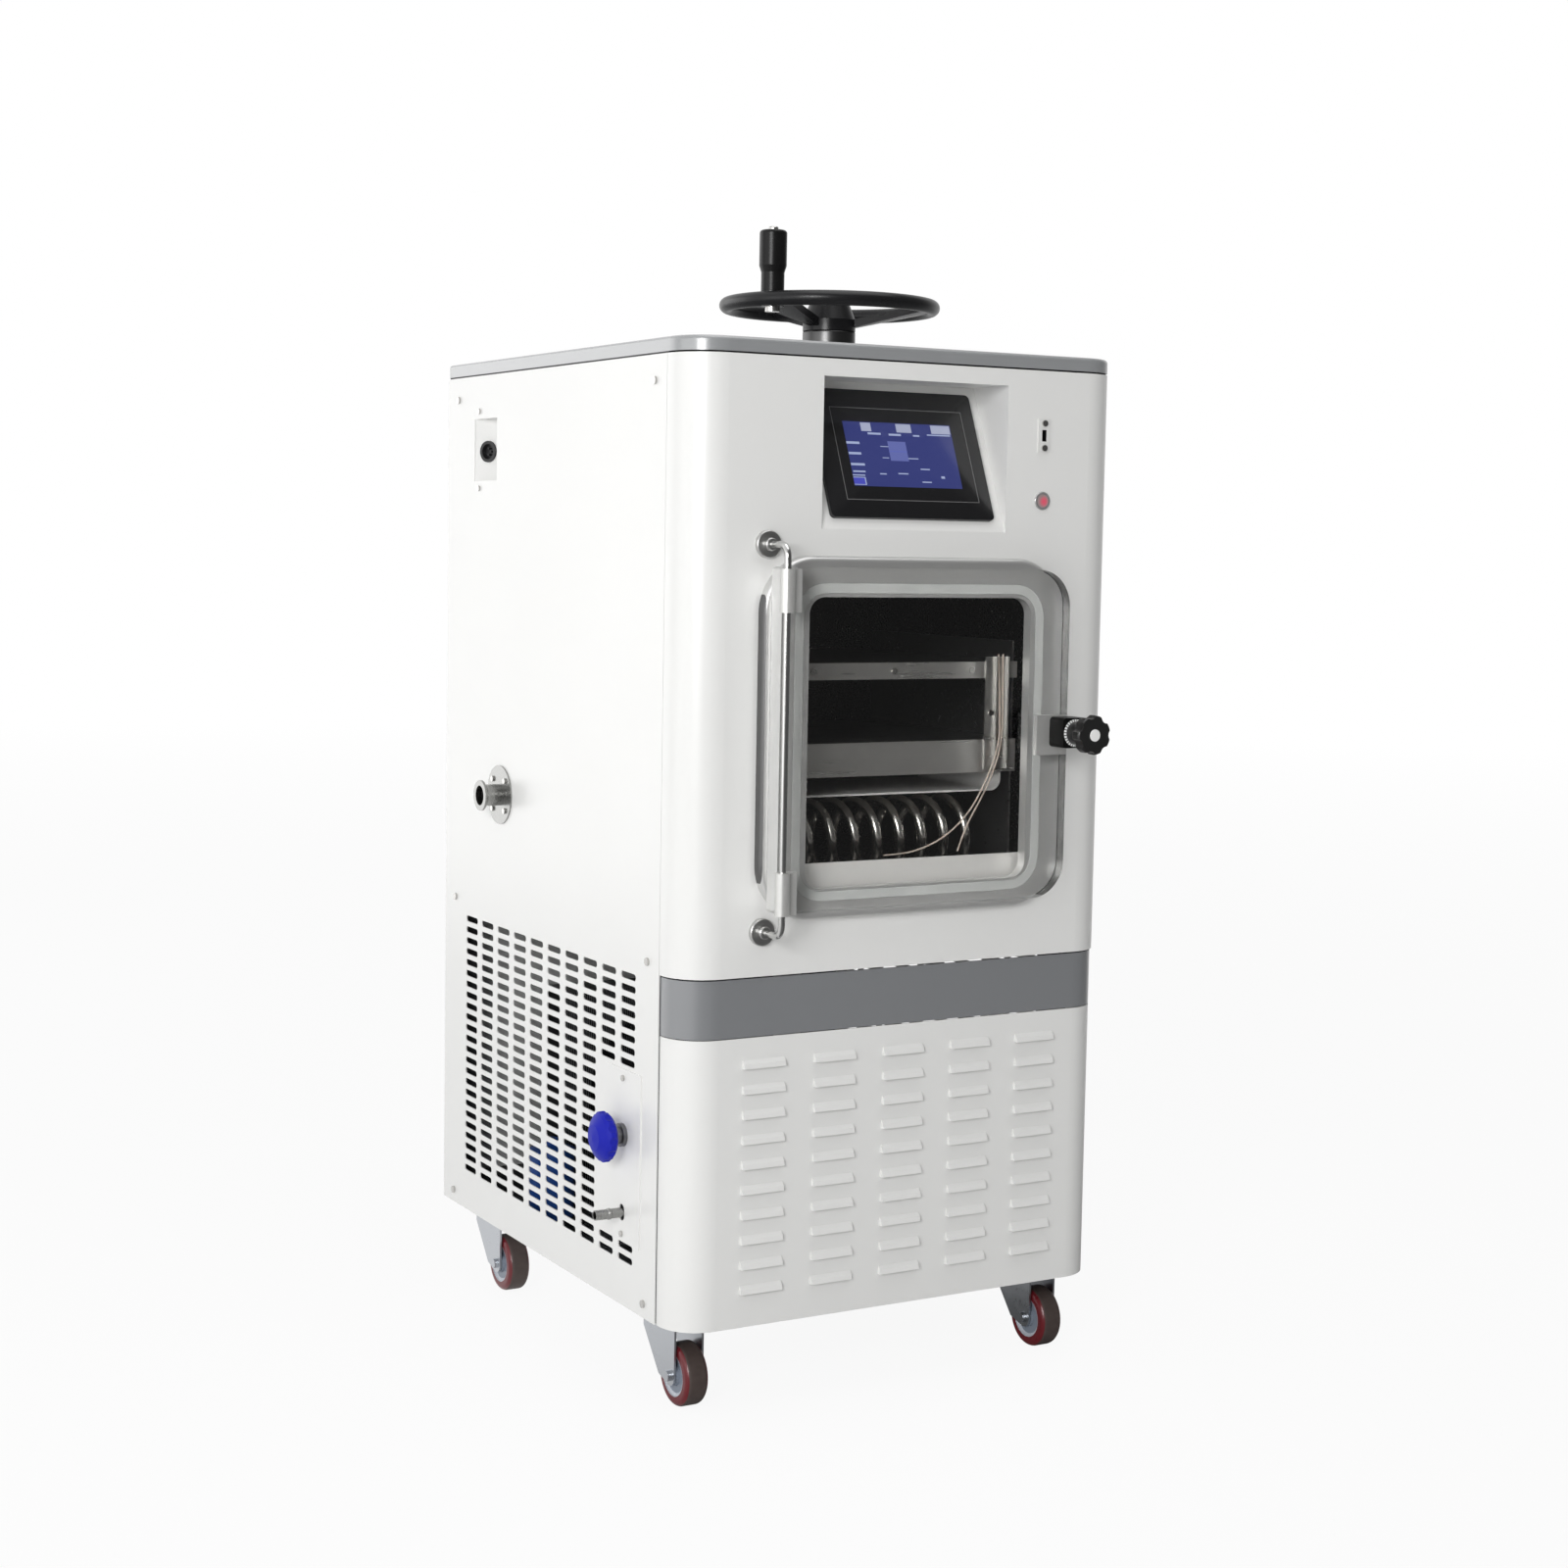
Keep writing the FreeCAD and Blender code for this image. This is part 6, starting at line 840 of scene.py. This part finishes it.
def braid_finish(strands=6, lay_length=0.006):
    """Two sets of stripes wound opposite ways: the sines of along plus around and along minus around."""
    finish = Finish("braided sleeve")
    place = finish.add("ShaderNodeTexCoord", output=2)
    along, around, rest = finish.parts(place)
    turn_one = along * (2 * math.pi / lay_length) * 2.0
    turn_two = around * (strands / WIRE_RADIUS / 2)
    first, second = (turn_one + turn_two).sine(), (turn_one - turn_two).sine()
    weave = first.most(second) * 0.5 + 0.5
    brown = (first - second) > BROWN_LEVEL
    return finish.done(
        Base_Color=finish.blend(brown, colour(0.62, 0.58, 0.52), colour(0.40, 0.13, 0.045)),
        Roughness=0.6 + 0.1 * weave,
        Normal=finish.bump(weave, 0.0003))


braid = braid_finish()
for name, route in wire_routes.items():
    line = smooth_line(name, route)
    points, across, length = sleeve(line, WIRE_RADIUS)
    wire = surface(name + "_sleeve", points, braid, "cabinet", across)
    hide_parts(name)
    print(name, "length in mm:", round(length / MM, 1))

# %% [markdown]
# ## Studio
#
# A plain pale floor and a white surround, as for a catalogue picture. Three large soft boxes stand
# to the machine's left: one beside it, one behind it and the strongest before its front left
# corner. They make that side the brightest, and a wide one above fills the rest. Metal shows its
# surroundings, so the surround is white behind the machine and darker on the side of the room,
# where a real studio is dark: that contrast is what makes steel read as steel. The surround lights
# matt surfaces only weakly. To the camera the floor is mostly a white glow, which keeps a faint
# shadow near the machine and fades to plain white farther out.

# %% Floor, surround and lamps
STAGE_SIZE = 60.0
corner_signs = np.array([(-1, -1, 0), (1, -1, 0), (1, 1, 0), (-1, 1, 0)], float)
floor_mesh = bpy.data.meshes.new("floor")
floor_mesh.from_pydata(corner_signs * STAGE_SIZE, [], [(0, 1, 2, 3)])
floor = bpy.data.objects.new("floor", floor_mesh)
bpy.context.scene.collection.objects.link(floor)

FLOOR_GLOW = 0.92
FADE_START, FADE_LENGTH = 1.5, 9.0
MATT_LIGHT = 0.30
ROOM_SKEW, ROOM_CONTRAST = 0.55, 0.44
ROOM_TONES = [(0.0, grey(0.09)), (0.26, grey(0.16)), (0.46, grey(0.75)), (1.0, grey(1.0))]


def room_tone(tree, x, y):
    """What metal and acrylic mirror in a level direction: dark in front and right, white behind."""
    place = (y - ROOM_SKEW * x) * ROOM_CONTRAST + 0.5
    return tree.add("ShaderNodeValToRGB", {"stops": ROOM_TONES}, {0: place})


floor_finish = Finish("floor")
camera_ray, glossy_ray, through_ray = (
    floor_finish.add("ShaderNodeLightPath", output=place) for place in (0, 3, 6))
seen = (camera_ray + glossy_ray + through_ray).least(1.0)
x, y, z = floor_finish.parts(floor_finish.place)
reach = (x * x + y * y).root() + 0.001
far = ((reach - FADE_START) / FADE_LENGTH).most(0.0).least(1.0)
tone = floor_finish.blend(camera_ray, room_tone(floor_finish, x / reach, y / reach), grey(1.0))
matt = floor_finish.add("ShaderNodeBsdfDiffuse", {}, {"Color": grey(0.80)})
glow = floor_finish.add("ShaderNodeEmission", {}, {"Color": tone, "Strength": 1.0})
share = seen * (far * (1.0 - FLOOR_GLOW) + FLOOR_GLOW)
both = floor_finish.add("ShaderNodeMixShader", {}, {0: share, 1: matt, 2: glow})
floor_finish.add("ShaderNodeOutputMaterial", {}, {"Surface": both})
floor_mesh.materials.append(floor_finish.material)

world = bpy.data.worlds.new("surround")
world.use_nodes = True
bpy.context.scene.world = world
surround = Tree(world.node_tree)
camera_ray, glossy_ray, through_ray = (
    surround.add("ShaderNodeLightPath", output=place) for place in (0, 3, 6))
way_x, way_y, way_z = surround.parts(surround.add("ShaderNodeTexCoord", output=0))
mirrored = surround.blend((glossy_ray + through_ray).least(1.0), grey(MATT_LIGHT),
                          room_tone(surround, way_x, way_y))
sky = surround.add("ShaderNodeBackground", {}, {
    "Color": surround.blend(camera_ray, mirrored, grey(1.0)), "Strength": 1.0})
surround.add("ShaderNodeOutputWorld", {}, {"Surface": sky})


def soft_box(name, place, aim, size, power):
    """A rectangular lamp at a place, turned to face its aim; size in metres, power in watts."""
    lamp = bpy.data.lights.new(name, "AREA")
    lamp.shape = "RECTANGLE"
    lamp.size, lamp.size_y = size
    lamp.energy = power
    box = bpy.data.objects.new(name, lamp)
    backward = np.array(place, float) - np.array(aim, float)
    backward /= np.linalg.norm(backward)
    right = np.cross((0.0, 0.0, 1.0), backward)
    right /= np.linalg.norm(right)
    box.matrix_world = standing(right, np.cross(backward, right), backward, place)
    box.visible_camera = False
    bpy.context.scene.collection.objects.link(box)


soft_box("key", (-3.9, -0.6, 1.3), (0, 0, 0.7), (2.6, 2.2), 18.0)
soft_box("top", (0.3, -0.9, 4.2), (0, 0, 0.9), (3.0, 3.0), 45.0)
soft_box("front", (-3.7, -3.5, 1.9), (0, 0, 0.75), (1.6, 1.8), 136.0)
soft_box("window", (-2.1, 3.1, 1.2), (0, 0, 0.8), (3.0, 3.0), 27.0)
bpy.context.scene.view_settings.view_transform = "Standard"
print("lamps:", len(bpy.data.lights))
